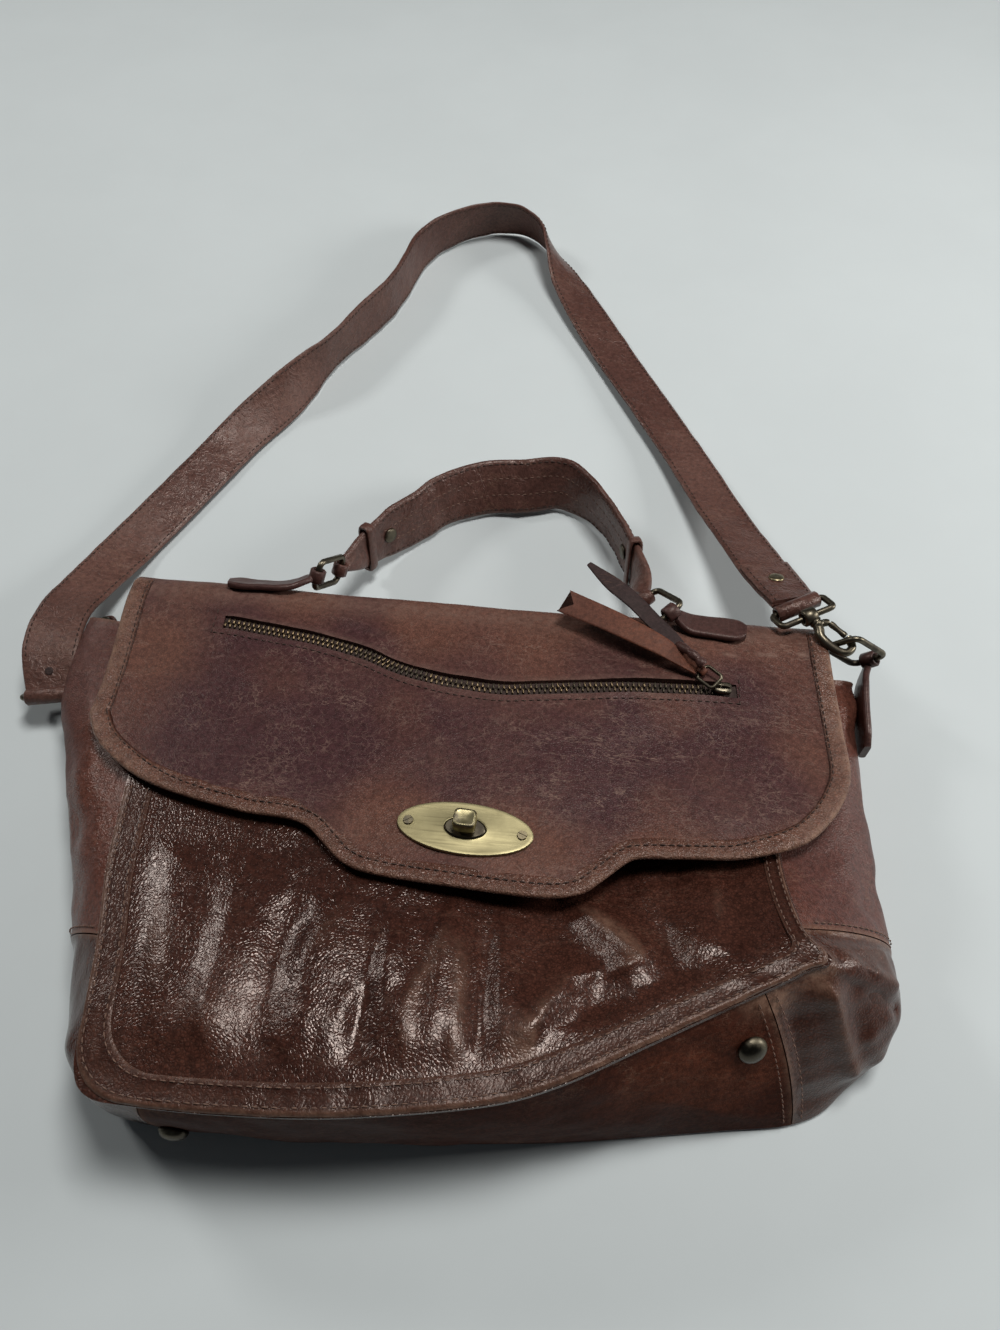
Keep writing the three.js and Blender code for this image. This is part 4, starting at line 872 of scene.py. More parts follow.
def leather_finish(name, base, cloud, worn, roughness, grain=(700.0, 0.3, 0.35), scuffs=0.5, crevice=0.5,
                   wrinkles=(120.0, 0.2), depth=0.0005, gloss=0.5, spread=0.16, mottle=0.3, crackle=0.0,
                   cloudy=0.7, hairs=(60.0, 0.012)):
    """Leather: a base colour with cloudy patches, rubbed places, scuffs, cracks and pebbles, with painted
    shade in grooves and in the crevices between pebbles.
    """
    material, board, shader = finish_start(name)
    patch = effect(board, "tone patches", Scale=9.0, Low=0.42, High=0.62)["Mask"]
    pebble = effect(board, "pebble grain", Scale=grain[0], Breadth=grain[1])
    scratch = effect(board, "hairline scuffs", Scale=hairs[0], Width=hairs[1])["Mask"]
    wrinkle = effect(board, "fine wrinkles", Scale=wrinkles[0])["Height"]
    rubbed = effect(board, "rubbed edges", Rub=board.attribute("wear"))["Mask"]
    wear = board.most(rubbed, board.times(scratch, scuffs))
    if crackle:
        wear = board.most(wear, board.times(effect(board, "crackle")["Mask"], crackle))
    # The cloud mark browns the flap. On the body's sheets it is painted light by the right foot.
    tone = board.plus(board.times(patch, cloudy), board.attribute("cloud"), True)
    colour = board.blend(tone, base, cloud)
    # Painted shade: darker in the crevices between the pebbles.
    colour = board.blend(board.times(pebble["Crevice"], crevice), colour, shaded(base, 0.45))
    uneven = {"Vector": colour, "Scale": effect(board, "fine mottle", Swing=mottle)["Factor"]}
    colour = board.node("ShaderNodeVectorMath", uneven, operation="SCALE").outputs["Vector"]
    colour = board.blend(wear, colour, worn)
    # Painted shade: darker where a piece marks a groove, such as a stitch row or a binding's inner edge.
    colour = board.blend(board.times(board.attribute("groove"), 0.8), colour, shaded(base, 0.25))
    rough = board.remap(patch, 0.0, 1.0, roughness - spread / 2, roughness + spread / 2)
    height = board.plus(board.times(pebble["Height"], grain[2]), board.times(wrinkle, wrinkles[1]))
    height = board.math("SUBTRACT", height, board.times(scratch, 0.12 * scuffs))
    board.feed(shader, {
        "Base Color": colour, "Roughness": board.plus(rough, board.times(wear, 0.18), True),
        "Normal": board.bump(height, 0.8, depth), "Specular IOR Level": gloss, "Specular Tint": WARM_SHEEN,
    })
    return material


def brass_finish(name, base, dull, roughness, brushed=0.0, patches=(90.0, 0.42, 0.62)):
    """Aged brass: bright metal under dull patches, with fine scratches and, if asked, a brushed run."""
    material, board, shader = finish_start(name)
    tone = effect(board, "tone patches", Scale=patches[0], Low=patches[1], High=patches[2])["Mask"]
    scratch = effect(board, "hairline scuffs", Scale=160.0, Width=0.02)["Mask"]
    colour = board.blend(tone, base, dull)
    colour = board.blend(board.times(scratch, 0.35), colour, shaded(base, 1.35))
    height = board.times(scratch, -0.4)
    if brushed:
        run = board.moved(board.place(), Rotation=(0, 0, -LOCK_TURN), Scale=(45.0, 950.0, 950.0))
        lines = board.noise(run, 1.0, 2.0)
        height = board.plus(height, board.times(lines, brushed))
        colour = board.blend(board.remap(lines, 0.5, 0.72, 0.0, 0.8), colour, dull)
    board.feed(shader, {
        "Base Color": colour, "Roughness": board.remap(tone, 0.0, 1.0, roughness, roughness + 0.2),
        "Normal": board.bump(height, 0.5, 0.0001), "Metallic": 1.0,
    })
    return material


def cloth_finish(name, base, light):
    """Woven tape or thread: a fine check of two tones."""
    material, board, shader = finish_start(name)
    values = {"Vector": board.place(), "Scale": 1800.0, "Randomness": 0.35}
    weave = board.node("ShaderNodeTexVoronoi", values).outputs["Distance"]
    tone = effect(board, "tone patches", Scale=120.0)["Mask"]
    colour = board.blend(board.remap(weave, 0.1, 0.7), light, base)
    board.feed(shader, {
        "Base Color": board.blend(board.times(tone, 0.5), colour, base), "Roughness": 0.85,
        "Normal": board.bump(weave, 0.6, 0.0002),
    })
    return material


def look(slot_name, maker, label, *colours, **settings):
    return slot_name, maker, label, colours, settings


# Looks: the slot, the kind of finish, its label, its colours by name and what else sets it apart.
LOOKS = {
    "flap": look("flap_leather", leather_finish, "flap leather", "flap", "flap_cloud", "scratch",
                 roughness=0.41, grain=(850.0, 0.35, 0.26), scuffs=0.85, crevice=0.4, depth=0.0004,
                 wrinkles=(150.0, 0.25), gloss=0.15, crackle=0.5, cloudy=0.4, hairs=(70.0, 0.009)),
    "edge": look("edge_leather", leather_finish, "flap edge leather", "edge", "flap_cloud", "worn",
                 roughness=0.36, grain=(700.0, 0.35, 0.45), scuffs=0.6, crevice=0.6, depth=0.0006,
                 wrinkles=(120.0, 0.5), gloss=0.4, mottle=0.4, crackle=0.4, cloudy=0.35),
    "border": look("body_leather", leather_finish, "border leather", "panel", "panel_cloud", "worn",
                   roughness=0.3, grain=(660.0, 0.34, 0.2), scuffs=0.2, crevice=0.6, gloss=0.4, spread=0.09),
    "panel": look("body_leather", leather_finish, "panel leather", "panel", "panel_cloud", "worn",
                  roughness=0.24, grain=(660.0, 0.34, 0.235), scuffs=0.2, crevice=0.65,
                  wrinkles=(110.0, 0.12), mottle=0.4, spread=0.06),
    "cap": look("body_leather", leather_finish, "end cap leather", "cap", "panel_cloud", "worn",
                roughness=0.26, grain=(600.0, 0.34, 0.2), scuffs=0.3, crevice=0.65,
                wrinkles=(110.0, 0.15), gloss=0.36, crackle=0.15),
    "bottom": look("body_leather", leather_finish, "bottom leather", "bottom", "bottom_cloud", "worn",
                   roughness=0.6, grain=(900.0, 0.35, 0.14), scuffs=0.6, crevice=0.3, depth=0.0004,
                   gloss=0.06, mottle=0.35, crackle=0.3, cloudy=0.25),
    "gusset": look("gusset_leather", leather_finish, "gusset leather", "gusset", "flap", "worn",
                   roughness=0.34, grain=(800.0, 0.32, 0.25), scuffs=0.4, crevice=0.35, gloss=0.3,
                   mottle=0.35, cloudy=0.5),
    "strap": look("strap_leather", leather_finish, "strap leather", "strap", "strap_cloud", "worn",
                  roughness=0.38, grain=(1000.0, 0.35, 0.14), scuffs=0.4, crevice=0.3,
                  wrinkles=(160.0, 0.35), gloss=0.45),
    "tab": look("strap_leather", leather_finish, "tab leather", "tab", "strap", "worn",
                roughness=0.4, grain=(1000.0, 0.35, 0.12), scuffs=0.3, crevice=0.3, depth=0.0004,
                gloss=0.4, cloudy=0.3),
    "tan": look("tan_leather", leather_finish, "tan tassel leather", "tan", "strap", "worn",
                roughness=0.55, grain=(1200.0, 0.35, 0.1), depth=0.0003, gloss=0.3, scuffs=0.25),
    "dark": look("dark_leather", leather_finish, "dark tassel leather", "dark", "flap", "worn",
                 roughness=0.6, grain=(1200.0, 0.35, 0.1), depth=0.0003, gloss=0.3, scuffs=0.3, cloudy=0.3),
    "plate": look("lock_brass", brass_finish, "brushed lock brass", "brass", "brass_dull",
                  roughness=0.46, brushed=0.5, patches=(30.0, 0.35, 0.85)),
    "knob": look("lock_brass", brass_finish, "worn knob brass", "brass", "aged", roughness=0.3),
    "rivet": look("lock_brass", brass_finish, "rivet brass", "rivet", "aged", roughness=0.34),
    "aged": look("dark_brass", brass_finish, "aged brass", "aged", "aged_dull", roughness=0.34),
    # A darker copy of the aged brass: the rivets' own dark bronze, and painted shade on the feet under the
    # bag.
    "foot": look("dark_brass", brass_finish, "foot bronze", "aged_dull", "aged", roughness=0.3),
    "tooth": look("tooth_brass", brass_finish, "tooth brass", "tooth", "aged_dull", roughness=0.36),
    "tape": look("zip_cloth", cloth_finish, "zip tape", "tape", "thread_dark"),
    "thread": look("zip_cloth", cloth_finish, "thread", "thread", "worn"),
    "thread_dark": look("zip_cloth", cloth_finish, "dark thread", "thread_dark", "thread"),
}
FINISHES = {}


def finish(name):
    """A finish by name, made on its first use from the colours in the panel."""
    if name not in FINISHES:
        _, maker, label, colours, settings = LOOKS[name]
        tint = bpy.context.scene.satchel_colours
        FINISHES[name] = maker(label, *[tuple(getattr(tint, key)) + (1.0,) for key in colours], **settings)
    return FINISHES[name]


# Repeats along paths

def path_tree():
    """Geometry nodes: sets copies of an element along paths, lying flat, swayed from side to side."""
    tree = bpy.data.node_groups.new("row along a path", "GeometryNodeTree")
    board = Board(tree)
    for label, kind in (("Geometry", "Geometry"), ("Element", "Object"), ("Spacing", "Float"),
                        ("Sway", "Float"), ("Material", "Material")):
        tree.interface.new_socket(label, in_out="INPUT", socket_type="NodeSocket" + kind)
    tree.interface.new_socket("Geometry", in_out="OUTPUT", socket_type="NodeSocketGeometry")
    given = board.node("NodeGroupInput").outputs
    curve = board.node("GeometryNodeMeshToCurve", {"Mesh": given["Geometry"]}).outputs["Curve"]
    points = board.node("GeometryNodeResampleCurve", {"Curve": curve, "Length": given["Spacing"]},
                        mode="LENGTH").outputs["Curve"]
    tangent = board.node("GeometryNodeInputTangent").outputs["Tangent"]
    ahead = board.node("FunctionNodeAlignRotationToVector", {"Vector": tangent}, axis="X").outputs["Rotation"]
    upright = board.node("FunctionNodeAlignRotationToVector", {"Rotation": ahead, "Vector": (0.0, 0.0, 1.0)},
                         axis="Z", pivot_axis="X").outputs["Rotation"]
    source = board.node("GeometryNodeObjectInfo", {"Object": given["Element"]}).outputs["Geometry"]
    values = {"Points": points, "Instance": source, "Rotation": upright}
    copies = board.node("GeometryNodeInstanceOnPoints", values).outputs["Instances"]
    number = board.node("GeometryNodeInputIndex").outputs["Index"]
    turn = board.math("SUBTRACT", board.times(board.math("MODULO", number, 2.0), 2.0), 1.0)
    shift = board.node("ShaderNodeCombineXYZ", {"Y": board.times(turn, given["Sway"])}).outputs["Vector"]
    values = {"Instances": copies, "Translation": shift}
    swayed = board.node("GeometryNodeTranslateInstances", values).outputs["Instances"]
    real = board.node("GeometryNodeRealizeInstances", {"Geometry": swayed}).outputs["Geometry"]
    values = {"Geometry": real, "Material": given["Material"]}
    done = board.node("GeometryNodeSetMaterial", values).outputs["Geometry"]
    board.node("NodeGroupOutput", {"Geometry": done})
    return tree


def row_along(name, paths, element, spacing, look_name, sway=0.0, replaced=False):
    """Sets an element along paths given in millimetres and keeps the result as one plain mesh."""
    if "row" not in TREES:
        TREES["row"] = path_tree()
    points, edges = [], []
    for path in paths:
        start = len(points)
        points += (np.asarray(path) * MM).tolist()
        edges += [(k, k + 1) for k in range(start, len(points) - 1)]
    mesh = bpy.data.meshes.new(name + "_path")
    mesh.from_pydata(points, edges, [])
    carrier = bpy.data.objects.new(name + "_path", mesh)
    for obj in (carrier, element):
        bpy.context.scene.collection.objects.link(obj)
    modifier = carrier.modifiers.new("row", "NODES")
    modifier.node_group = TREES["row"]
    values = {"Element": element, "Spacing": spacing * MM, "Sway": sway * MM, "Material": finish(look_name)}
    for item in TREES["row"].interface.items_tree:
        if item.in_out == "INPUT" and item.name in values:
            modifier[item.identifier] = values[item.name]
    depsgraph = bpy.context.evaluated_depsgraph_get()
    made = bpy.data.meshes.new_from_object(carrier.evaluated_get(depsgraph))
    carrier.modifiers.clear()
    for obj in (carrier, element):
        bpy.data.objects.remove(obj)
    if not made.polygons:
        raise RuntimeError(f"{name}: the row of elements came out empty")
    made.name = name
    made.polygons.foreach_set("use_smooth", [True] * len(made.polygons))
    settle(name, made, look_name, BAG, replaced)


def stitch_element():
    """One stitch: a short thread that dips into the leather at both ends."""
    size = bpy.context.scene.satchel_sizes
    length, radius = size.stitch_length / MM, size.stitch_radius / MM
    x = np.linspace(-0.5, 0.5, 5) * length
    lift = radius * np.array([-0.9, 0.25, 0.45, 0.25, -0.9])
    shell = rod(np.stack([x, 0 * x, lift], -1), radius * np.array([0.5, 1, 1.05, 1, 0.5]), 6)
    return bpy.data.objects.new("stitch", mesh_from("stitch", shell, {}))


def tooth_element():
    """One zip tooth: a small bar with rounded corners."""
    a, b = 0.48, bpy.context.scene.satchel_sizes.tooth_width / MM / 2
    corner_x, corner_y = 0.2, 0.3
    half = [(-a, -b + corner_y), (-a + corner_x, -b), (a - corner_x, -b), (a, -b + corner_y)]
    section = np.array(half + [(-x, -y) for x, y in half])
    shell = loft([level(section * grow, z) for z, grow in ((-0.7, 1.0), (0.35, 1.0), (0.7, 0.72))])
    return bpy.data.objects.new("tooth", mesh_from("tooth", shell, {}))


# Settings

COLOURS = {
    "flap": ((0.066, 0.0285, 0.0300), "Flap leather"),
    "flap_cloud": ((0.140, 0.060, 0.041), "Brown clouds in the flap"),
    "edge": ((0.078, 0.0285, 0.0205), "Edge of the flap"),
    "panel": ((0.048, 0.0165, 0.0110), "Front panel leather"),
    "panel_cloud": ((0.076, 0.0265, 0.0165), "Clouds in the front panel"),
    "bottom": ((0.044, 0.0125, 0.0078), "Bottom panel leather"),
    # Colour of the bottom's clouds and of the painted light by the right foot.
    "bottom_cloud": ((0.115, 0.035, 0.019), "Clouds and painted glow of the bottom panel"),
    "gusset": ((0.122, 0.044, 0.030), "Gusset leather"),
    "strap": ((0.095, 0.043, 0.034), "Handle and strap leather"),
    "strap_cloud": ((0.14, 0.066, 0.050), "Clouds in the strap"),
    "tab": ((0.058, 0.026, 0.023), "Tabs and folded ends"),
    "cap": ((0.054, 0.0165, 0.0105), "End cap leather"),
    "scratch": ((0.235, 0.150, 0.118), "Scratches in the flap"),
    "worn": ((0.22, 0.125, 0.085), "Rubbed leather"),
    "tan": ((0.165, 0.050, 0.024), "Front tassel leather"),
    "dark": ((0.030, 0.020, 0.020), "Back tassel leather"),
    "thread": ((0.13, 0.075, 0.055), "Thread"),
    "thread_dark": ((0.024, 0.013, 0.010), "Dark thread"),
    "tape": ((0.055, 0.033, 0.027), "Zip tape"),
    "brass": ((0.40, 0.352, 0.195), "Lock brass"),
    "brass_dull": ((0.235, 0.205, 0.112), "Dull lock brass"),
    "rivet": ((0.30, 0.25, 0.15), "Rivet brass"),
    "aged": ((0.145, 0.126, 0.090), "Aged brass"),
    "aged_dull": ((0.070, 0.060, 0.046), "Dull aged brass"),
    "tooth": ((0.17, 0.122, 0.070), "Zip tooth brass"),
    "floor": ((0.60, 0.65, 0.655), "Floor"),
}


class SatchelColours(bpy.types.PropertyGroup):
    """Colours of the leathers, threads and metals."""

    __annotations__ = {
        key: FloatVectorProperty(name=label, description=f"Colour: {label.lower()}", default=value, size=3,
                                 min=0.0, max=1.0, subtype="COLOR")
        for key, (value, label) in COLOURS.items()
    }


def length_setting(name, text, default, least, precision=4):
    return FloatProperty(name=name, description=text, default=default, min=least, unit="LENGTH",
                         precision=precision)


def power_setting(name, text, default):
    return FloatProperty(name=name, description=text, default=default, min=0.0, unit="POWER")


class SatchelSizes(bpy.types.PropertyGroup):
    """Sizes of the repeated details."""

    stitch_length: length_setting("Stitch Length", "Length of one stitch", 0.0026, 0.0005)
    stitch_pitch: length_setting("Stitch Pitch", "Distance from stitch to stitch", 0.0038, 0.001)
    stitch_radius: length_setting("Stitch Radius", "Half the thickness of the thread", 0.00032, 0.0001, 5)
    tooth_pitch: length_setting("Tooth Pitch", "Distance from tooth to tooth across both rows", 0.00135,
                                0.0005, 5)
    tooth_width: length_setting("Tooth Width", "Length of a tooth across the zip", 0.0032, 0.0005)


class SatchelStage(bpy.types.PropertyGroup):
    """Lights and camera."""

    key_power: power_setting("Key Light", "Power of the small light on the left beyond the handle", 6.0)
    ceiling_power: power_setting("Ceiling Light", "Power of the wide soft light overhead", 24.5)
    side_power: power_setting("Side Light", "Power of the soft light on the right", 9.0)
    sky: FloatProperty(name="Sky", description="Brightness of the even light all round", default=0.038,
                       min=0.0, subtype="FACTOR")
    lens: FloatProperty(name="Lens", description="Focal length in millimetres on a 36 mm frame",
                        default=27.07, min=1.0)


# Pieces

class SATCHEL_OT_body(bpy.types.Operator):
    """Makes the back, the gussets, the end caps and the bottom"""

    bl_idname = "satchel.body"
    bl_label = "Body"

    # Ridges: start, end, spread, height, sharpness.
    RIDGES = {
        "end_cap_right": [
            ((163, -65, 68), (183, -88, 23), 5.5, 4.2, 1.7),
            ((160, -61, 75), (202, -64, 36), 4.0, -3.0, 1.6),
            ((172, -55, 66), (198, -57, 44), 4.0, 2.6, 1.5),
            ((159, -53, 73), (192, -45, 49), 5.0, 2.2, 1.6),
            ((189, -77, 35), (196, -81, 20), 6.0, 2.0, 1.8),
            ((150, -75, 70), (162, -104, 20), 6.0, -1.6, 1.8),
        ],
        "end_cap_left": [
            ((-140, -118, 62), (-152, -110, 20), 6.0, 1.4, 1.5),
            ((-138, -126, 60), (-120, -138, 20), 6.0, -1.2, 1.8),
        ],
        "gusset_right": [
            ((195, -20, 40), (190, 60, 12), 9.0, -2.2, 2.0), ((175, 0, 52), (196, 50, 40), 8.0, 1.4, 1.8),
        ],
        "gusset_left": [
            ((-182, -20, 40), (-192, 50, 14), 9.0, -2.2, 2.0), ((-176, 0, 46), (-198, 70, 40), 8.0, 1.2, 1.8),
        ],
        "bottom_panel": [
            ((96, -112, 40), (146, -108, 8), 5.0, 0.8, 1.5), ((110, -96, 66), (150, -92, 30), 6.0, -0.9, 1.8),
            ((-60, -139, 60), (30, -132, 30), 14.0, -1.2, 2.0),
        ],
    }

    # Painted light as lighter reddish spots by the right foot, and worn spots by the corner: middle and
    # reach.
    PAINTED_GLOWS = [((128, -103, 36), 13), ((144, -94, 42), 12), ((110, -100, 45), 22), ((92, -106, 50), 16)]
    WORN = [((134, -75, 74), 8), ((143, -74, 70), 7), ((158, -62, 74), 8)]

    # Sheets: first and last section, columns and rows, look, seed and roughness.
    SHEETS = {
        "gusset_left": (0, SIDE_SEAM_LEFT - SEAM_SHARE, 70, 44, "gusset", 11, 0.9),
        "end_cap_left": (SIDE_SEAM_LEFT + SEAM_SHARE, END_SEAM_LEFT - SEAM_SHARE, 90, 52, "cap", 13, 0.8),
        "bottom_panel": (END_SEAM_LEFT + SEAM_SHARE, END_SEAM_RIGHT - SEAM_SHARE, 160, 52, "bottom", 15, 0.5),
        "end_cap_right": (END_SEAM_RIGHT + SEAM_SHARE, SIDE_SEAM_RIGHT - SEAM_SHARE, 110, 64, "cap", 17, 0.8),
        "gusset_right": (SIDE_SEAM_RIGHT + SEAM_SHARE, LAST_SECTION, 70, 44, "gusset", 19, 0.9),
    }

    def spots(self, points, places):
        near = [hump(np.linalg.norm(points - middle, axis=-1), reach) for middle, reach in places]
        return np.clip(sum(near), 0, 1)

    def sheet(self, name, t0, t1, columns, rows, look_name, seed, rough):
        lip_width, lip_height = 1 / 16, 0.5
        t = np.linspace(t0, t1, columns + 1)[None, :]
        s = np.linspace(0, 1, rows + 1)[:, None]
        outer, normal = body_point(t, s), body_normal(t, s)
        normal[0] = unit(normal[0] * [1, 1, 0])
        inside = smooth(6 * np.minimum(s, 1 - s))
        hold = inside * smooth(5 * np.minimum(t - t0, t1 - t))
        relief = ridge_height(outer, self.RIDGES[name])
        relief += rough * (0.7 * ripple(outer, 34, seed) + 0.3 * ripple(outer, 13, seed + 1))
        lip = hump(t - t0, lip_width) + hump(t1 - t, lip_width)
        face = outer + normal * (relief * hold + lip_height * lip * inside)[..., None]
        wear = 0.55 * lip * np.ones_like(s) + 0.25 * smooth((relief - 1.0) / 3.0) * hold
        wear = np.clip(wear + 0.9 * self.spots(outer, self.WORN), 0, 1)
        # The cloud mark here is painted light by the right foot.
        piece(name, wall(face, outer - normal * LEATHER), look_name, wear=outside(wear),
              cloud=outside(self.spots(outer, self.PAINTED_GLOWS)))

    def back(self):
        sections = along(SECTIONS, np.linspace(0, LAST_SECTION, 160))
        rim = np.vstack([[[-188, 128]], sections[:, :2], [[186, 128]]])
        middle = rim.mean(axis=0)
        profile = ((0.02, 0), (0.5, 0), (0.985, 0), (0.997, 0.35), (1.0, 1.0), (0.997, 1.65), (0.985, 2.0),
                   (0.5, 2.0), (0.02, 2.0))
        rings = [level(middle + (rim - middle) * share, z) for share, z in profile]
        piece("back_panel", loft(rings), "gusset")

    def execute(self, context):
        self.back()
        for name, settings in self.SHEETS.items():
            self.sheet(name, *settings)
        return {"FINISHED"}


def border_place(share, inset):
    """Panel places along the stitched strip: down the left edge, along the bottom and up the right edge."""
    bend, bend_right, top, stretch = 0.07, 0.025, 0.42, 1.25
    reach, low = 1 - 0.6 * inset, 1 - inset * stretch
    angle = np.linspace(0, math.pi / 2, 24)[1:]
    left = [(inset, v) for v in np.linspace(top, low - bend * stretch, 60)]
    corner = [(inset + bend * (1 - math.cos(a)), low - bend * stretch * (1 - math.sin(a))) for a in angle]
    flat = [(u, low) for u in np.linspace(inset + bend, reach - bend_right, 140)[1:]]
    other = [(reach - bend_right * (1 - math.sin(a)), low - bend_right * stretch * (1 - math.cos(a)))
             for a in angle]
    right = [(reach, v) for v in np.linspace(low - bend_right * stretch, top, 60)[1:]]
    return at_shares(np.array(left + corner + flat + other + right), share).T


def border_line(share, inset, lift):
    u, v = border_place(share, inset)
    return panel_point(u, v) + panel_normal(u, v) * np.asarray(lift)


def border_raised(share):
    """How far the strip stands up: fully along the bottom and less up the sides."""
    return 0.35 + 0.65 * smooth((border_place(share, BORDER_MIDDLE)[1] - 0.8) / 0.12)


class SATCHEL_OT_front(bpy.types.Operator):
    """Makes the crumpled front panel and the stitched strip round it"""

    bl_idname = "satchel.front"
    bl_label = "Front"

    # The strip's section: inset as a share of the panel, height, wear and painted groove shade.
    STRIP = [
        (0.0035, -0.6, 0.5, 0.0), (0.0010, 0.5, 0.7, 0.0), (0.0035, 1.7, 0.5, 0.0), (0.0080, 2.1, 0.25, 0.0),
        (0.0130, 1.75, 0.0, 0.4), (0.0260, 1.95, 0.05, 0.0), (0.0370, 1.75, 0.0, 0.4),
        (0.0420, 1.95, 0.1, 0.0), (0.0455, 1.5, 0.2, 0.0), (0.0465, -0.5, 0.0, 0.9),
    ]

    def execute(self, context):
        u = np.linspace(0, 1, 241)[None, :]
        v = np.concatenate([np.linspace(0, 0.48, 14), np.linspace(0.48, 1, 130)[1:]])[:, None]
        outer = panel_point(u, v)
        wear = 0.4 * smooth((fold_height(outer, CREASES) - 0.9) / 1.6)
        shell = wall(outer, outer - upward(grid_normals(outer)) * LEATHER)
        piece("front_panel", shell, "panel", wear=outside(wear))
        share = np.linspace(0, 1, 320)
        uneven = 0.25 * ripple(border_line(share, BORDER_MIDDLE, 0.0), 18, 31)
        raised = border_raised(share)
        rings = [border_line(share, inset, ((high + uneven) * raised)[:, None] if high > 0 else high)
                 for inset, high, _, _ in self.STRIP]
        strip = np.array(self.STRIP)
        # Painted shade along the two stitch rows and the strip's inner edge.
        piece("front_border", loft(np.stack(rings, axis=1)), "border",
              wear=np.tile(strip[:, 2], (len(share), 1)), groove=np.tile(strip[:, 3], (len(share), 1)))
        return {"FINISHED"}


def flap_relief(points):
    """Soft swells and creases of the flap."""
    return fold_height(points, FLAP_CREASES) + 0.55 * ripple(points, 75, 41) + 0.16 * ripple(points, 21, 42)


def flap_outline(steps, top):
    """The flap's edge in the plan view, from the top left round to the top right, at even lengths."""
    y = np.linspace(top, 44, 40)
    left = np.column_stack([-FLAP_HALF + flap_shift(y), y])
    low = along(FLAP_EDGE, np.linspace(0, len(FLAP_EDGE) - 1, 400))
    right = np.column_stack([FLAP_HALF + 0.4 + flap_shift(y[::-1]), y[::-1]])
    line = at_shares(np.vstack([left, low, right]), np.linspace(0, 1, steps))
    for _ in range(3):
        line[1:-1] = 0.25 * line[:-2] + 0.5 * line[1:-1] + 0.25 * line[2:]
    return line


def flap_inset(line, inset, lift):
    """The flap's edge moved inwards and up."""
    heading = unit(np.gradient(line, axis=0))
    plan = line + np.column_stack([-heading[:, 1], heading[:, 0]]) * inset
    points = flap_place(plan[:, 0], plan[:, 1])
    points[:, 2] += flap_relief(points) * smooth((np.array(inset) - 2) / 14) + lift
    return points


def flap_sides(line):
    """1 along the flap's sides, where its edge is bound, and 0 along its tongue."""
    return smooth((np.abs(line[:, 0]) - 120) / 45)


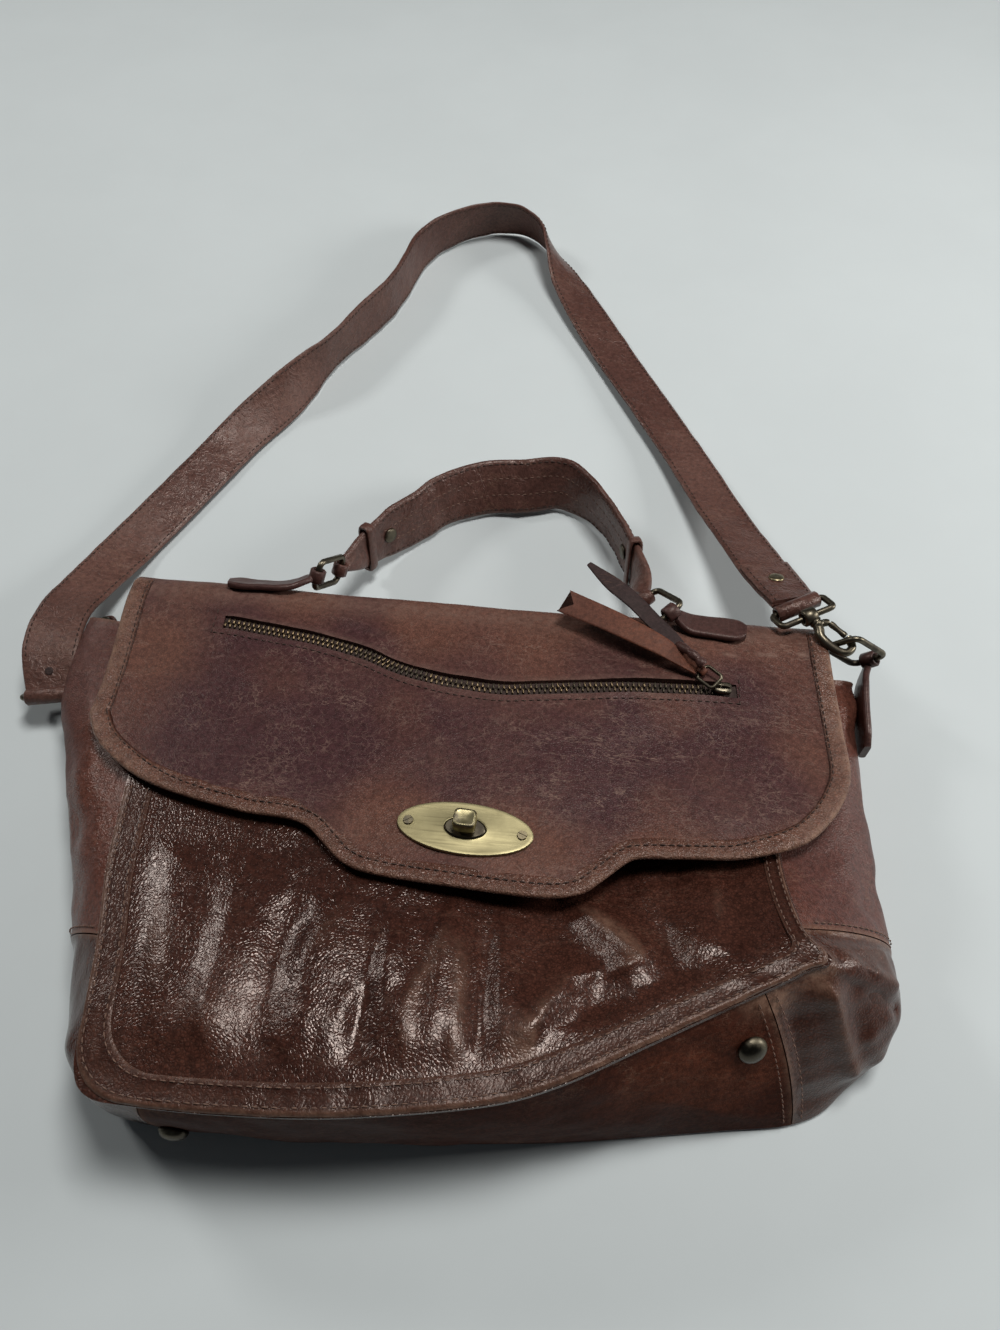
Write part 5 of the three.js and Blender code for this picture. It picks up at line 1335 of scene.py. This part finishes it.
class SATCHEL_OT_flap(bpy.types.Operator):
    """Makes the flap with its zip slot and its rolled, bound edge"""

    bl_idname = "satchel.flap"
    bl_label = "Flap"

    # The bound edge's section: inset, height at the sides, height along the tongue, wear.
    EDGE = [
        (0.8, -2.6, -2.6, 0.2), (-0.2, -2.2, -2.2, 0.6), (-0.9, -1.0, -1.0, 0.95), (-0.8, 0.3, 0.2, 1.0),
        (0.0, 1.15, 0.9, 0.9), (1.4, 1.5, 1.1, 0.5), (3.2, 1.4, 0.8, 0.3), (5.6, 1.3, 0.55, 0.22),
        (7.4, 1.1, 0.25, 0.2), (8.2, 0.9, 0.15, 0.2), (9.0, 0.3, 0.0, 0.0), (9.5, -0.5, -0.5, 0.0),
        (8.0, -1.2, -1.2, 0.0),
    ]

    # The grid: columns across, and rows of the front above, in and below the zip slot.
    COLUMNS = 261
    ROWS = {"above": 12, "slot": 4, "below": 60}

    def columns(self):
        """Points over the top fold and down the front, the zip slot's first row and its two edges."""
        low = along(FLAP_EDGE, np.linspace(0, len(FLAP_EDGE) - 1, self.COLUMNS))
        u = (low[:, 0] - 0.5) / FLAP_HALF
        w = np.linspace(0, 6, 37)
        turn = along(FLAP_TURN, w)
        x = u[None, :] * FLAP_HALF + flap_shift(turn[:, :1])
        ends = [flap_settle(x, 125.0) * k / 6 for k in range(5)]
        ends = np.array(ends + [flap_settle(x, 122.0), flap_settle(x, 110.0)])
        i = np.minimum(w.astype(int), 5)
        f = (w - i)[:, None]
        rows = np.arange(len(w))
        settled = ends[i, rows] * (1 - f) + ends[i + 1, rows] * f
        over = np.stack([x, np.broadcast_to(turn[:, :1], x.shape), turn[:, 1:2] + settled], -1)
        middle = zip_y(u * FLAP_HALF - 1.5)
        stops = (FLAP_FRONT_Y, middle + ZIP_SLOT / 2, middle - ZIP_SLOT / 2, low[:, 1])
        y = np.vstack([start + (end - start) * np.linspace(0, 1, count + 1)[1:, None]
                       for start, end, count in zip(stops, stops[1:], self.ROWS.values())])
        front = flap_place(u[None, :] * FLAP_HALF + flap_shift(y), y)
        return np.concatenate([over, front]), len(w) + self.ROWS["above"] - 1, stops[1], stops[2]

    def execute(self, context):
        grid, slot_row, zip_top, zip_low = self.columns()
        normal = grid_normals(grid)
        if normal[slot_row, self.COLUMNS // 2, 2] < 0:
            normal = -normal
        x, y = grid[..., 0], grid[..., 1]
        rows = np.arange(len(grid))[:, None]
        inside = smooth((x - ZIP_LEFT) / 8) * smooth((ZIP_RIGHT - x) / 8)
        above = np.where(rows <= slot_row, y - zip_top, 99)
        below = np.where(rows > slot_row, zip_low - y, 99)
        lip = 1.3 * hump(above, 3.2) + 0.45 * hump(np.maximum(below, 0), 2.6)
        lip *= inside * np.where(rows < 34, 0, 1)
        hold = smooth((rows - 6) / 30)
        edge = smooth((y - zip_low + (zip_low - grid[-1:, :, 1])) / 16)
        side = smooth((FLAP_HALF - np.abs(x - flap_shift(y))) / 12)
        face = grid + normal * (flap_relief(grid) * hold * np.minimum(edge, side) + lip)[..., None]
        inner = grid - normal * FLAP_LEATHER
        inner[0, :, 2] = grid[0, :, 2]
        x_cells = x[slot_row, :-1]
        keep = np.ones((len(grid) - 1, grid.shape[1] - 1), bool)
        keep[slot_row:slot_row + self.ROWS["slot"]] = ~((x_cells > ZIP_LEFT) & (x_cells < ZIP_RIGHT))
        top_fold = hump(y - 120, 9) * (grid[..., 2] > 40)
        tongue = hump(y + 30, 16) * hump(x - 8, 60)
        crease = hump(y - 103 - 0.1 * (x - 120), 1.0) * smooth((x - 70) / 60)
        broken = smooth(0.5 + ripple(grid, 9, 44))
        wear = np.clip(0.34 * top_fold + 0.10 * tongue + 0.22 * lip + 0.75 * crease * broken, 0, 1)
        cloud = self.browning(grid)
        piece("flap", wall(face, inner, keep), "flap", wear=outside(wear),
              cloud=np.concatenate([cloud, cloud]))
        self.binding()
        return {"FINISHED"}

    def browning(self, points):
        """Where the purple dye has gone brown: by the top fold, the lower edges and the tongue."""
        x, y = points[..., 0], points[..., 1]
        low = np.interp(x, FLAP_EDGE[:, 0], FLAP_EDGE[:, 1])
        fold = smooth((y - 82) / 40) * (0.75 + 0.25 * smooth((x + 40) / 120))
        edge = 0.9 * smooth((26 - (y - low)) / 30)
        tongue = hump(y + 22, 26) * hump(x - 5, 70)
        side = 0.6 * smooth((np.abs(x) - 140) / 40)
        patchy = 0.35 * ripple(points, 60, 43)
        return np.clip(np.maximum.reduce([fold, edge, tongue, side]) + patchy - 0.1, 0, 1)

    def binding(self):
        line = flap_outline(420, 125.0)
        side, flat = flap_sides(line), level(line, 0.0)
        uneven = 0.18 * ripple(flat, 16, 51)
        rings = [flap_inset(line, inset, low + (high - low) * side + (uneven if high > 0 else 0))
                 for inset, high, low, _ in self.EDGE]
        creased = 1 + 0.4 * side * ripple(flat, 7, 52)
        inset, _, _, rubbed = np.array(self.EDGE).T
        side = side[:, None]
        wear = np.clip(rubbed * (0.5 + 0.5 * side) * creased[:, None], 0, 1)
        # Painted shade along the binding's inner edge, stronger on the sides.
        piece("flap_binding", loft(np.stack(rings, axis=1)), "edge", wear=wear,
              cloud=np.ones_like(wear) * (0.5 + 0.5 * side), groove=(0.15 + 0.85 * side) * (inset > 8.5))


def zip_line(x, aside=0.0, lift=0.0):
    points = flap_place(x, zip_y(x) + aside)
    points[:, 2] += lift
    return points


class SATCHEL_OT_zip(bpy.types.Operator):
    """Makes the zip: tape, teeth, slider, pull ring and the two tassels"""

    bl_idname = "satchel.zip"
    bl_label = "Zip"

    def execute(self, context):
        x = np.linspace(ZIP_LEFT - 2, ZIP_RIGHT + 3, 180)
        lanes = [(-3.7, -1.5), (-2.2, -1.3), (-0.5, -1.2), (0.0, -1.35), (0.5, -1.2), (2.2, -1.3),
                 (3.7, -1.5)]
        top = np.stack([zip_line(x, aside, lift) for aside, lift in lanes], axis=1)
        low = np.stack([zip_line(x, aside, -2.2) for aside, lift in lanes], axis=1)
        piece("zip_tape", wall(top, low), "tape")
        teeth = zip_line(np.linspace(ZIP_LEFT + 3, ZIP_RIGHT - 4, 160), 0.0, -0.35)
        pitch = context.scene.satchel_sizes.tooth_pitch / MM
        row_along("zip_teeth", [teeth], tooth_element(), pitch, "tooth", sway=1.25, replaced=True)
        y = float(zip_y(SLIDER_X))
        z = float(flap_height(np.array(SLIDER_X), np.array(y))) - TAPE_DEPTH + 0.3 + 1.5 + 0.3
        self.slider(np.array([SLIDER_X, y, z]))
        self.tassels(np.array([SLIDER_X - 3, y + 1, z + 4.1]), np.array([115.5, 88.5, z + 3.2]))
        return {"FINISHED"}

    def slider(self, place):
        angle = circle(36)
        outline = squared(angle, 0.6).T * np.column_stack([np.full(36, 4.6), 3.2 + 0.5 * np.cos(angle)])
        rings = [level(outline * grow, h) + place
                 for h, grow in ((0.0, 0.92), (0.3, 1.0), (1.7, 1.0), (2.2, 0.9), (2.4, 0.6))]
        bridge = [(-3.4, 0, 1.8), (-3.2, 0, 3.2), (-1.6, 0, 3.9), (1.0, 0, 3.7), (3.0, 0, 2.9), (3.6, 0, 1.8)]
        bridge = along(np.array(bridge, float), np.linspace(0, 5, 26))
        piece("zip_slider", merged(loft(rings), rod(bridge + place, 0.75, 10)), "aged")

    def tassels(self, root, end):
        """The pull ring from the slider's bridge to the tassels that hang in it."""
        aside = np.array([0.5, 0.7, 0.2])
        piece("zip_pull", oval_ring(root, end, aside, 4.2, 0.9), "aged")
        rows = ending_at(TASSEL_FRONT_LINE, end, False, 1.9)
        last = len(rows) - 1
        front = band(rows, TASSEL_LEATHER, 60, relief=lambda p: 0.5 * ripple(p, 26, 61),
                     tip=lambda t, a: -6 * (1 - np.abs(a)) * smooth((t - last + 0.5) / 0.5) + 0.6 * np.abs(a))
        loop = sleeve(end, ring_across(root, end, aside), 4, 1.3, 2.5)
        piece("tassel_front", merged(front, loop), "tan")
        back = band(TASSEL_BACK_LINE, TASSEL_LEATHER, 60, relief=lambda p: 0.5 * ripple(p, 24, 62))
        piece("tassel_back", back, "dark")
        route = np.array([(103, 101.5, 59.0), (107, 97.0, 61.6), (110.5, 93.5, 62.4), (113.5, 90.5, 62.2),
                          (115.5, 88.6, 61.4)], float)
        share = np.linspace(0, 4, 40)
        radius = 1.9 + 0.5 * np.abs(np.sin(share * 2.4)) + 0.5 * smooth(share - 2.6)
        piece("tassel_knot", rod(along(route, share), radius, 16), "tab", slot_name="dark_leather",
              replaced=False)


class SATCHEL_OT_lock(bpy.types.Operator):
    """Makes the turn lock: plate, base, screws and the knob that turns"""

    bl_idname = "satchel.lock"
    bl_label = "Turn Lock"

    # Sections: length, width and height of each ring.
    PLATE = [(62, 26, 0), (62, 26, 1.1), (61.4, 25.4, 1.45), (60.4, 24.4, 1.55), (58.6, 22.6, 1.5),
             (21.4, 13.4, 1.5), (20.0, 12.0, 1.65), (19.3, 11.3, 1.5), (19, 11, 1.1), (19, 11, 0)]
    BASE = [(18.4, 10.4, 0), (18.4, 10.4, 1.5), (17.6, 9.6, 1.9), (8.4, 8.4, 1.9), (8.0, 8.0, 1.7),
            (1, 1, 1.7)]
    KNOB = [(9.4, 8.2, 3.0), (10.1, 8.9, 3.3), (10.4, 9.2, 4.0), (10.4, 9.2, 8.0), (10.1, 8.9, 8.8),
            (9.4, 8.2, 9.25), (8.2, 7.0, 9.4), (7.6, 6.4, 9.3), (0.4, 0.4, 9.35)]
    KNOB_LIFT = 2.2
    SCREW_X = 25.9

    def placed(self, shell):
        """A shell made flat round the lock's middle, laid on the flap."""
        turn = Matrix.Rotation(-math.atan(FLAP_SLOPE), 3, "X") @ Matrix.Rotation(LOCK_TURN, 3, "Z")
        points, faces = shell
        return points @ np.array(turn).T + LOCK_PLACE, faces

    def rings(self, section, power=1.0, lift=0.0):
        outline = squared(circle(72), power).T / 2
        return [level(outline * (long, wide), z + lift) for long, wide, z in section]

    def execute(self, context):
        piece("lock_plate", self.placed(loft(self.rings(self.PLATE), closed=True)), "plate", sharp=35)
        piece("lock_base", self.placed(loft(self.rings(self.BASE))), "aged", sharp=35)
        lift = self.KNOB_LIFT
        post = lathe([(0.2, lift), (3.5, lift), (3.5, 3.4 + lift)], UP, np.zeros(3), 40)
        shell = merged(post, loft(self.rings(self.KNOB, 0.42, lift)))
        piece("lock_knob", self.placed(shell), "knob", "knob", sharp=40)
        screws = (("left", -self.SCREW_X, 0.7), ("right", self.SCREW_X, -0.35))
        for end, x, turn in screws:
            piece(f"lock_screw_{end}", self.placed(self.screw(x, turn)), "rivet", sharp=35)
        return {"FINISHED"}

    def screw(self, x, turn):
        """A flush screw head with a slot across it."""
        radius, high, slot, deep, bottom = 2.3, 0.9, 0.36, 0.45, 1.55
        halves = []
        for side in (-1, 1):
            start = math.asin(slot / radius)
            angle = np.linspace(start, math.pi - start, 22)
            arc = np.column_stack([radius * np.cos(angle), side * radius * np.sin(angle)])
            inner = arc * 0.93
            inner[:, 1] = np.where(np.abs(inner[:, 1]) < slot, side * slot, inner[:, 1])
            halves.append(loft([level(arc, bottom - 0.2), level(arc, bottom + high - 0.25),
                                level(inner, bottom + high)]))
        wide, floor = radius * 0.98, high - deep
        profile = [(0.1, -0.2), (wide, -0.2), (wide, floor), (0.1, floor)]
        points, faces = merged(*halves, lathe(profile, UP, np.array([0, 0, bottom])))
        return points @ np.array(Matrix.Rotation(turn, 3, "Z")).T + [x, 0, 0], faces


def ring_piece(name, a, b, side, half):
    piece(name, oval_ring(a, b, side, half), "aged")


def tab_piece(name, rows, loop, at_end, across, length, thickness, relief=None):
    """A leather tab that ends in a loop round a ring's bar."""
    tab = band(ending_at(rows, loop, at_end), thickness, 50, relief=relief)
    piece(name, merged(tab, sleeve(loop, across, length)), "tab")


def handle_rows():
    return ending_at(ending_at(HANDLE_LINE, HANDLE_LOOP_LEFT, False), HANDLE_LOOP_RIGHT, True)


def handle_relief(points):
    return 0.5 * ripple(points, 40, 71) + 0.25 * ripple(points, 12, 72)


def tab_relief(points):
    return 0.2 * ripple(points, 14, 73)


class SATCHEL_OT_handle(bpy.types.Operator):
    """Makes the handle with its keepers, rivets, rings and tabs"""

    bl_idname = "satchel.handle"
    bl_label = "Handle"

    # Ends: the loop on the bag, the loop on the handle, the side of the ring, the tab and where it loops.
    ENDS = {
        "left": (TAB_LOOP_LEFT, HANDLE_LOOP_LEFT, UP, TAB_LEFT_LINE, True),
        "right": (TAB_LOOP_RIGHT, HANDLE_LOOP_RIGHT, HANDLE_SIDE_RIGHT, TAB_RIGHT_LINE, False),
    }

    def execute(self, context):
        across = {end: ring_across(*points) for end, (*points, _, _) in self.ENDS.items()}
        leather = band(handle_rows(), HANDLE_LEATHER, 220, lanes=18, relief=handle_relief, crown=0.35)
        loops = [sleeve(loop, across[end], HANDLE_LOOP_WIDTH) for end, (_, loop, *_) in self.ENDS.items()]
        piece("handle", merged(leather, *loops), "strap")
        for name, t in (("handle_keeper_left", 0.95), ("handle_keeper_right", 11.3)):
            piece(name, keeper(HANDLE_LINE, t, HANDLE_LEATHER), "strap")
        for name, t in (("handle_rivet_left", 1.75), ("handle_rivet_right", 10.6)):
            piece(name, stud(HANDLE_LINE, t, HANDLE_LEATHER + 0.6, 1, 4.5, 1.4, handle_relief), "foot")
        for end, (tab_loop, handle_loop, side, _, _) in self.ENDS.items():
            ring_piece(f"handle_ring_{end}", tab_loop, handle_loop, side, HANDLE_RING_HALF)
        for end, (tab_loop, _, _, rows, at_end) in self.ENDS.items():
            tab_piece(f"handle_tab_{end}", rows, tab_loop, at_end, across[end], HANDLE_LOOP_WIDTH,
                      TAB_LEATHER, tab_relief)
        return {"FINISHED"}


def strap_rows():
    return ending_at(ending_at(STRAP_LINE, STRAP_LOOP_LEFT, False), STRAP_LOOP_RIGHT, True)


def strap_relief(points):
    return 0.55 * ripple(points, 60, 81) + 0.2 * ripple(points, 15, 82)


def hook_place(root, heading, side):
    """Places on a hook: ahead along it and aside in its plane."""
    heading = unit(heading)
    across = ring_across(np.zeros(3), heading, side)
    return lambda ahead, aside: root + heading * ahead + across * aside


class SATCHEL_OT_strap(bpy.types.Operator):
    """Makes the shoulder strap, its folded end, its rings, snap hooks and side tabs"""

    bl_idname = "satchel.strap"
    bl_label = "Shoulder Strap"

    # The folded end's first and last place along the strap, counted in rows, and how far it lies under it.
    FOLD = (27.95, 28.97)
    FOLD_LEATHER = 2.0
    FOLD_LIFT = -2.2
    # The gate's thickness from end to end, and the stud's radius and height along the hook.
    GATE_WAIST = [0.95, 1.05, 1.1, 1.1, 1, 0.95, 0.9, 0.9, 0.9, 0.95, 1, 1.1, 1.05, 0.95]
    HOOK_STUD = [(0.3, 3.4), (3.0, 3.5), (3.4, 3.9), (3.4, 5.0), (2.7, 5.3), (2.7, 5.9), (3.4, 6.2),
                 (3.4, 7.4), (3.0, 8.0), (0.3, 8.1)]

    def execute(self, context):
        rows = strap_rows()
        across_right = ring_across(STRAP_LOOP_RIGHT, HOOK_ROOT_RIGHT, STRAP_SIDE_RIGHT)
        across_left = ring_across(STRAP_LOOP_LEFT, HOOK_ROOT_LEFT, STRAP_SIDE_LEFT)
        leather = band(rows, STRAP_LEATHER, 520, lanes=16, relief=strap_relief)
        shell = merged(leather, sleeve(STRAP_LOOP_LEFT, across_left, STRAP_END_WIDTH))
        piece("shoulder_strap", shell, "strap")
        folded = band(rows, self.FOLD_LEATHER, 40, *self.FOLD, relief=strap_relief, lift=self.FOLD_LIFT,
                      grow=-0.4)
        shell = merged(folded, sleeve(STRAP_LOOP_RIGHT, across_right, STRAP_END_WIDTH))
        piece("strap_folded_end", shell, "strap", replaced=False)
        # A dark disc on the strap: painted shade standing in for a punched hole.
        shell = stud(rows, 0.45, STRAP_LEATHER - 0.9, 1, 2.2, 0.3, strap_relief)
        piece("strap_hole", shell, "dark", replaced=False)
        shell = stud(STRAP_LINE, 28.35, STRAP_LEATHER + 3.6, -1, 4.2, 1.2, strap_relief)
        piece("strap_rivet", shell, "rivet", slot_name="dark_brass")
        ring_piece("strap_ring_right", STRAP_LOOP_RIGHT, HOOK_ROOT_RIGHT, STRAP_SIDE_RIGHT, STRAP_RING_HALF)
        ring_piece("strap_ring_left", STRAP_LOOP_LEFT, HOOK_ROOT_LEFT, STRAP_SIDE_LEFT, STRAP_RING_HALF)
        at_right = hook_place(HOOK_ROOT_RIGHT, HOOK_HEADING_RIGHT, HOOK_SIDE_RIGHT)
        at_left = hook_place(HOOK_ROOT_LEFT, HOOK_HEADING_LEFT, HOOK_SIDE_LEFT)
        self.hook("strap_hook_right", at_right, across_right, False)
        self.hook("strap_hook_left", at_left, across_left, True)
        gate = [at_right(GATE_ALONG + GATE_REACH * k, -HOOK_EYE) for k in np.linspace(-0.16, 1.03, 14)]
        piece("hook_gate", rod(gate, GATE_WIRE * np.array(self.GATE_WAIST), 18), "aged", "gate")
        sides = (("right", at_right(HOOK_LENGTH - 6.6, 0), SIDE_LOOP_RIGHT, RING_SIDE_RIGHT, 9.5,
                  SIDE_TAB_RIGHT_LINE, 8),
                 ("left", at_left(HOOK_LENGTH - 5.4, 0), SIDE_LOOP_LEFT, UP, 6.5, SIDE_TAB_LEFT_LINE, 5))
        for end, hung, loop, side, half, _, _ in sides:
            ring_piece(f"side_ring_{end}", hung, loop, side, half)
        for end, hung, loop, side, _, line, length in sides:
            tab_piece(f"side_tab_{end}", line, loop, False, ring_across(hung, loop, side), length,
                      SIDE_TAB_LEATHER)
        return {"FINISHED"}

    def hook(self, name, at, across, closed):
        """A snap hook: a knuckle round the ring's bar, a turned stud and an eye."""
        tip = HOOK_LENGTH
        eye = [(5, 0), (EYE_START - 1, 2.2), (EYE_START + 3, HOOK_EYE), (tip - 6, HOOK_EYE), (tip - 1, 2.6),
               (tip - 1, -2.6), (tip - 6, -HOOK_EYE)]
        if closed:
            eye += [(EYE_START + 3, -HOOK_EYE), (EYE_START - 1, -2.2), (5.5, -0.4)]
        eye = along(np.array(eye, float), np.linspace(0, len(eye) - 1, 12 * len(eye)))
        root, heading = at(0, 0), unit(at(1, 0) - at(0, 0))
        normal = np.cross(heading, unit(at(0, 1) - at(0, 0)))
        wire = np.interp(eye[:, 0], [5, 12, tip], [2.7, 2.5, HOOK_WIRE])
        parts = [sleeve(root, across, 7.5, BORE, BORE + 2.2), lathe(self.HOOK_STUD, heading, root),
                 rod([at(a, b) for a, b in eye], wire, 16, normal=normal)]
        if not closed:
            stub = ((6.6, -1.0), (7.4, -2.4), (EYE_START - 0.9, -HOOK_EYE + 0.8),
                    (EYE_START - 0.3, -HOOK_EYE + 0.1))
            parts.append(rod([at(a, b) for a, b in stub], [2.0, 2.0, 2.0, 1.7], 14, normal=normal))
        piece(name, merged(*parts), "aged")


class SATCHEL_OT_feet(bpy.types.Operator):
    """Makes the domed feet on the bottom"""

    bl_idname = "satchel.feet"
    bl_label = "Feet"

    def execute(self, context):
        profile = [(0.1, -0.8), (4.8, -0.8), (6.2, -0.2), (6.5, 0.5), (6.4, 1.2), (5.9, 2.2), (5.0, 3.1),
                   (3.8, 3.8), (2.2, 4.3), (0.8, 4.48), (0.05, 4.5)]
        for name, (t, s) in FEET.items():
            normal = body_normal(t, s)
            # The feet take the darker bronze as painted shade under the bag.
            piece(name, lathe(profile, normal, body_point(t, s) + normal * 0.35, 40), "foot")
        return {"FINISHED"}


class SATCHEL_OT_stitches(bpy.types.Operator):
    """Sews the stitch rows"""

    bl_idname = "satchel.stitches"
    bl_label = "Stitches"

    # Sewn lengths, counted in rows of each centre line, and the strip's two rows as shares of the panel.
    STRAP_SEWN = (0.8, 28.1)
    FOLD_SEWN = (28.05, 28.9)
    HANDLE_SEWN = (1.6, 11.2)
    STRIP_ROWS = (0.0125, 0.0385)
    EDGE_LANE = 0.84
    MIDDLE_LANE = 0.3
    FOLD_LANE = 0.78

    def sew(self, name, paths, look_name):
        pitch = bpy.context.scene.satchel_sizes.stitch_pitch / MM
        row_along(name, paths, stitch_element(), pitch, look_name)

    def on_flap(self, x, y):
        points = flap_place(x, y)
        points[:, 2] += flap_relief(points) + 0.25
        return points

    def execute(self, context):
        share = np.linspace(0.0, 1.0, 500)
        lift = 1.95 * border_raised(share)[:, None]
        self.sew("stitches_front", [border_line(share, inset, lift) for inset in self.STRIP_ROWS], "thread")
        line = flap_outline(700, 122.0)
        low, bound = flap_inset(line, 5.4, 1.0), flap_inset(line, 7.9, 1.25)
        flap = [low + (bound - low) * flap_sides(line)[:, None]]
        x = np.linspace(ZIP_LEFT - 1, ZIP_RIGHT + 2, 240)
        flap.append(self.on_flap(x, zip_y(x) - ZIP_SLOT / 2 - 3.6))
        for x in (ZIP_LEFT - 3, ZIP_RIGHT + 3):
            y = np.linspace(-ZIP_SLOT / 2 - 3.0, ZIP_SLOT / 2 + 2.0, 30) + float(zip_y(x))
            flap.append(self.on_flap(x, y))
        self.sew("stitches_flap", flap, "thread_dark")
        s = np.linspace(0.06, 0.94, 120)
        beside = (END_SEAM_RIGHT - 0.16, END_SEAM_RIGHT + 0.16, SIDE_SEAM_RIGHT + 0.1, SIDE_SEAM_LEFT - 0.1)
        self.sew("stitches_seams", [body_point(t, s) + body_normal(t, s) * 0.75 for t in beside], "thread")
        strap, handle = strap_rows(), handle_rows()
        edge, inner, fold = self.EDGE_LANE, self.MIDDLE_LANE, self.FOLD_LANE
        edges = [band_line(strap, lane, face, STRAP_LEATHER, *self.STRAP_SEWN, 900, strap_relief, 0.05)
                 for lane in (-edge, edge) for face in (-1, 1)]
        middle = []
        for lane, rows in ((-edge, edges), (-inner, middle), (inner, middle), (edge, edges)):
            rows += [band_line(handle, lane, face, HANDLE_LEATHER, *self.HANDLE_SEWN, 400, handle_relief,
                               0.25) for face in (-1, 1)]
        self.sew("stitches_handle", middle, "thread")
        edges += [band_line(strap, lane, -1, STRAP_LEATHER + 3.8, *self.FOLD_SEWN, 40, strap_relief, 0.02)
                  for lane in (-fold, fold)]
        self.sew("stitches_straps", edges, "thread_dark")
        return {"FINISHED"}


class SATCHEL_OT_stage(bpy.types.Operator):
    """Makes the floor, the lights and the camera"""

    bl_idname = "satchel.stage"
    bl_label = "Stage"

    def execute(self, context):
        scene = context.scene
        settings = scene.satchel_stage
        self.floor(scene)
        self.light(scene, "key_light", (-1.20, 0.80, 1.08), (0.0, 0.0, 0.03), 0.3, settings.key_power)
        self.light(scene, "ceiling_light", (0.34, 0.5, 1.9), (0.1, 0.25, 0.0), 0.55, settings.ceiling_power)
        self.light(scene, "side_light", (1.35, 0.30, 0.55), (0.1, 0.0, 0.03), 0.4, settings.side_power)
        scene.world = bpy.data.worlds.new("pale room")
        scene.world.use_nodes = True
        sky = scene.world.node_tree.nodes["Background"].inputs
        sky["Color"].default_value = (0.86, 0.93, 1.0, 1.0)
        sky["Strength"].default_value = settings.sky
        scene.view_settings.view_transform = "Standard"
        self.camera(scene, settings.lens)
        return {"FINISHED"}

    def floor(self, scene):
        material, board, shader = finish_start("pale floor")
        colour = tuple(scene.satchel_colours.floor) + (1.0,)
        cloud = effect(board, "tone patches", Scale=5.0, Low=0.3, High=0.7)["Mask"]
        board.feed(shader, {"Base Color": board.blend(cloud, colour, shaded(colour, 1.04)), "Roughness": 0.8})
        half, below = 3.0, -0.0002
        corners = [(x * half, y * half, below) for x, y in ((-1, -1), (1, -1), (1, 1), (-1, 1))]
        mesh = bpy.data.meshes.new("floor")
        mesh.from_pydata(corners, [], [(0, 1, 2, 3)])
        mesh.materials.append(material)
        floor = bpy.data.objects.new("floor", mesh)
        scene.collection.objects.link(floor)

    def light(self, scene, name, place, aim, size, power):
        lamp = bpy.data.lights.new(name, "AREA")
        lamp.energy = power
        lamp.size = size
        lamp.color = (1.0, 0.98, 0.96)
        made = bpy.data.objects.new(name, lamp)
        made.location = place
        made.rotation_euler = (Vector(aim) - Vector(place)).to_track_quat("-Z", "Y").to_euler()
        scene.collection.objects.link(made)

    def camera(self, scene, lens):
        optics = bpy.data.cameras.new("camera")
        optics.lens = lens
        optics.sensor_width = 36.0
        optics.clip_start = 0.01
        made = bpy.data.objects.new("camera", optics)
        ahead = Vector((-0.0508, 0.5275, -0.8480)).normalized()
        right = Vector((0.9954, 0.0958, 0.0)).normalized()
        turn = Matrix((right, right.cross(ahead), -ahead)).transposed().to_4x4()
        made.matrix_world = Matrix.Translation((0.0398, -0.1840, 0.4843)) @ turn
        scene.collection.objects.link(made)
        scene.camera = made


class SATCHEL_PT_panel(bpy.types.Panel):
    """Lists the pieces and their settings"""

    bl_idname = "SATCHEL_PT_panel"
    bl_label = "Leather Satchel"
    bl_space_type = "VIEW_3D"
    bl_region_type = "UI"
    bl_category = "Satchel"

    def draw(self, context):
        layout = self.layout
        for operator in OPERATORS:
            layout.operator(operator.bl_idname)
        for name in GROUPS:
            group, box = getattr(context.scene, name), layout.box()
            for key in group.__annotations__:
                box.prop(group, key)


OPERATORS = (SATCHEL_OT_stage, SATCHEL_OT_body, SATCHEL_OT_front, SATCHEL_OT_flap, SATCHEL_OT_zip,
             SATCHEL_OT_lock, SATCHEL_OT_handle, SATCHEL_OT_strap, SATCHEL_OT_feet, SATCHEL_OT_stitches)
GROUPS = {"satchel_sizes": SatchelSizes, "satchel_stage": SatchelStage, "satchel_colours": SatchelColours}
CLASSES = tuple(GROUPS.values()) + OPERATORS + (SATCHEL_PT_panel,)


def register():
    for made in CLASSES:
        bpy.utils.register_class(made)
    for name, group in GROUPS.items():
        setattr(bpy.types.Scene, name, PointerProperty(type=group))


def unregister():
    for name in GROUPS:
        delattr(bpy.types.Scene, name)
    for made in reversed(CLASSES):
        bpy.utils.unregister_class(made)


def main():
    register()
    for operator in OPERATORS:
        group, name = operator.bl_idname.split(".")
        getattr(getattr(bpy.ops, group), name)()


if __name__ == "__main__":
    main()
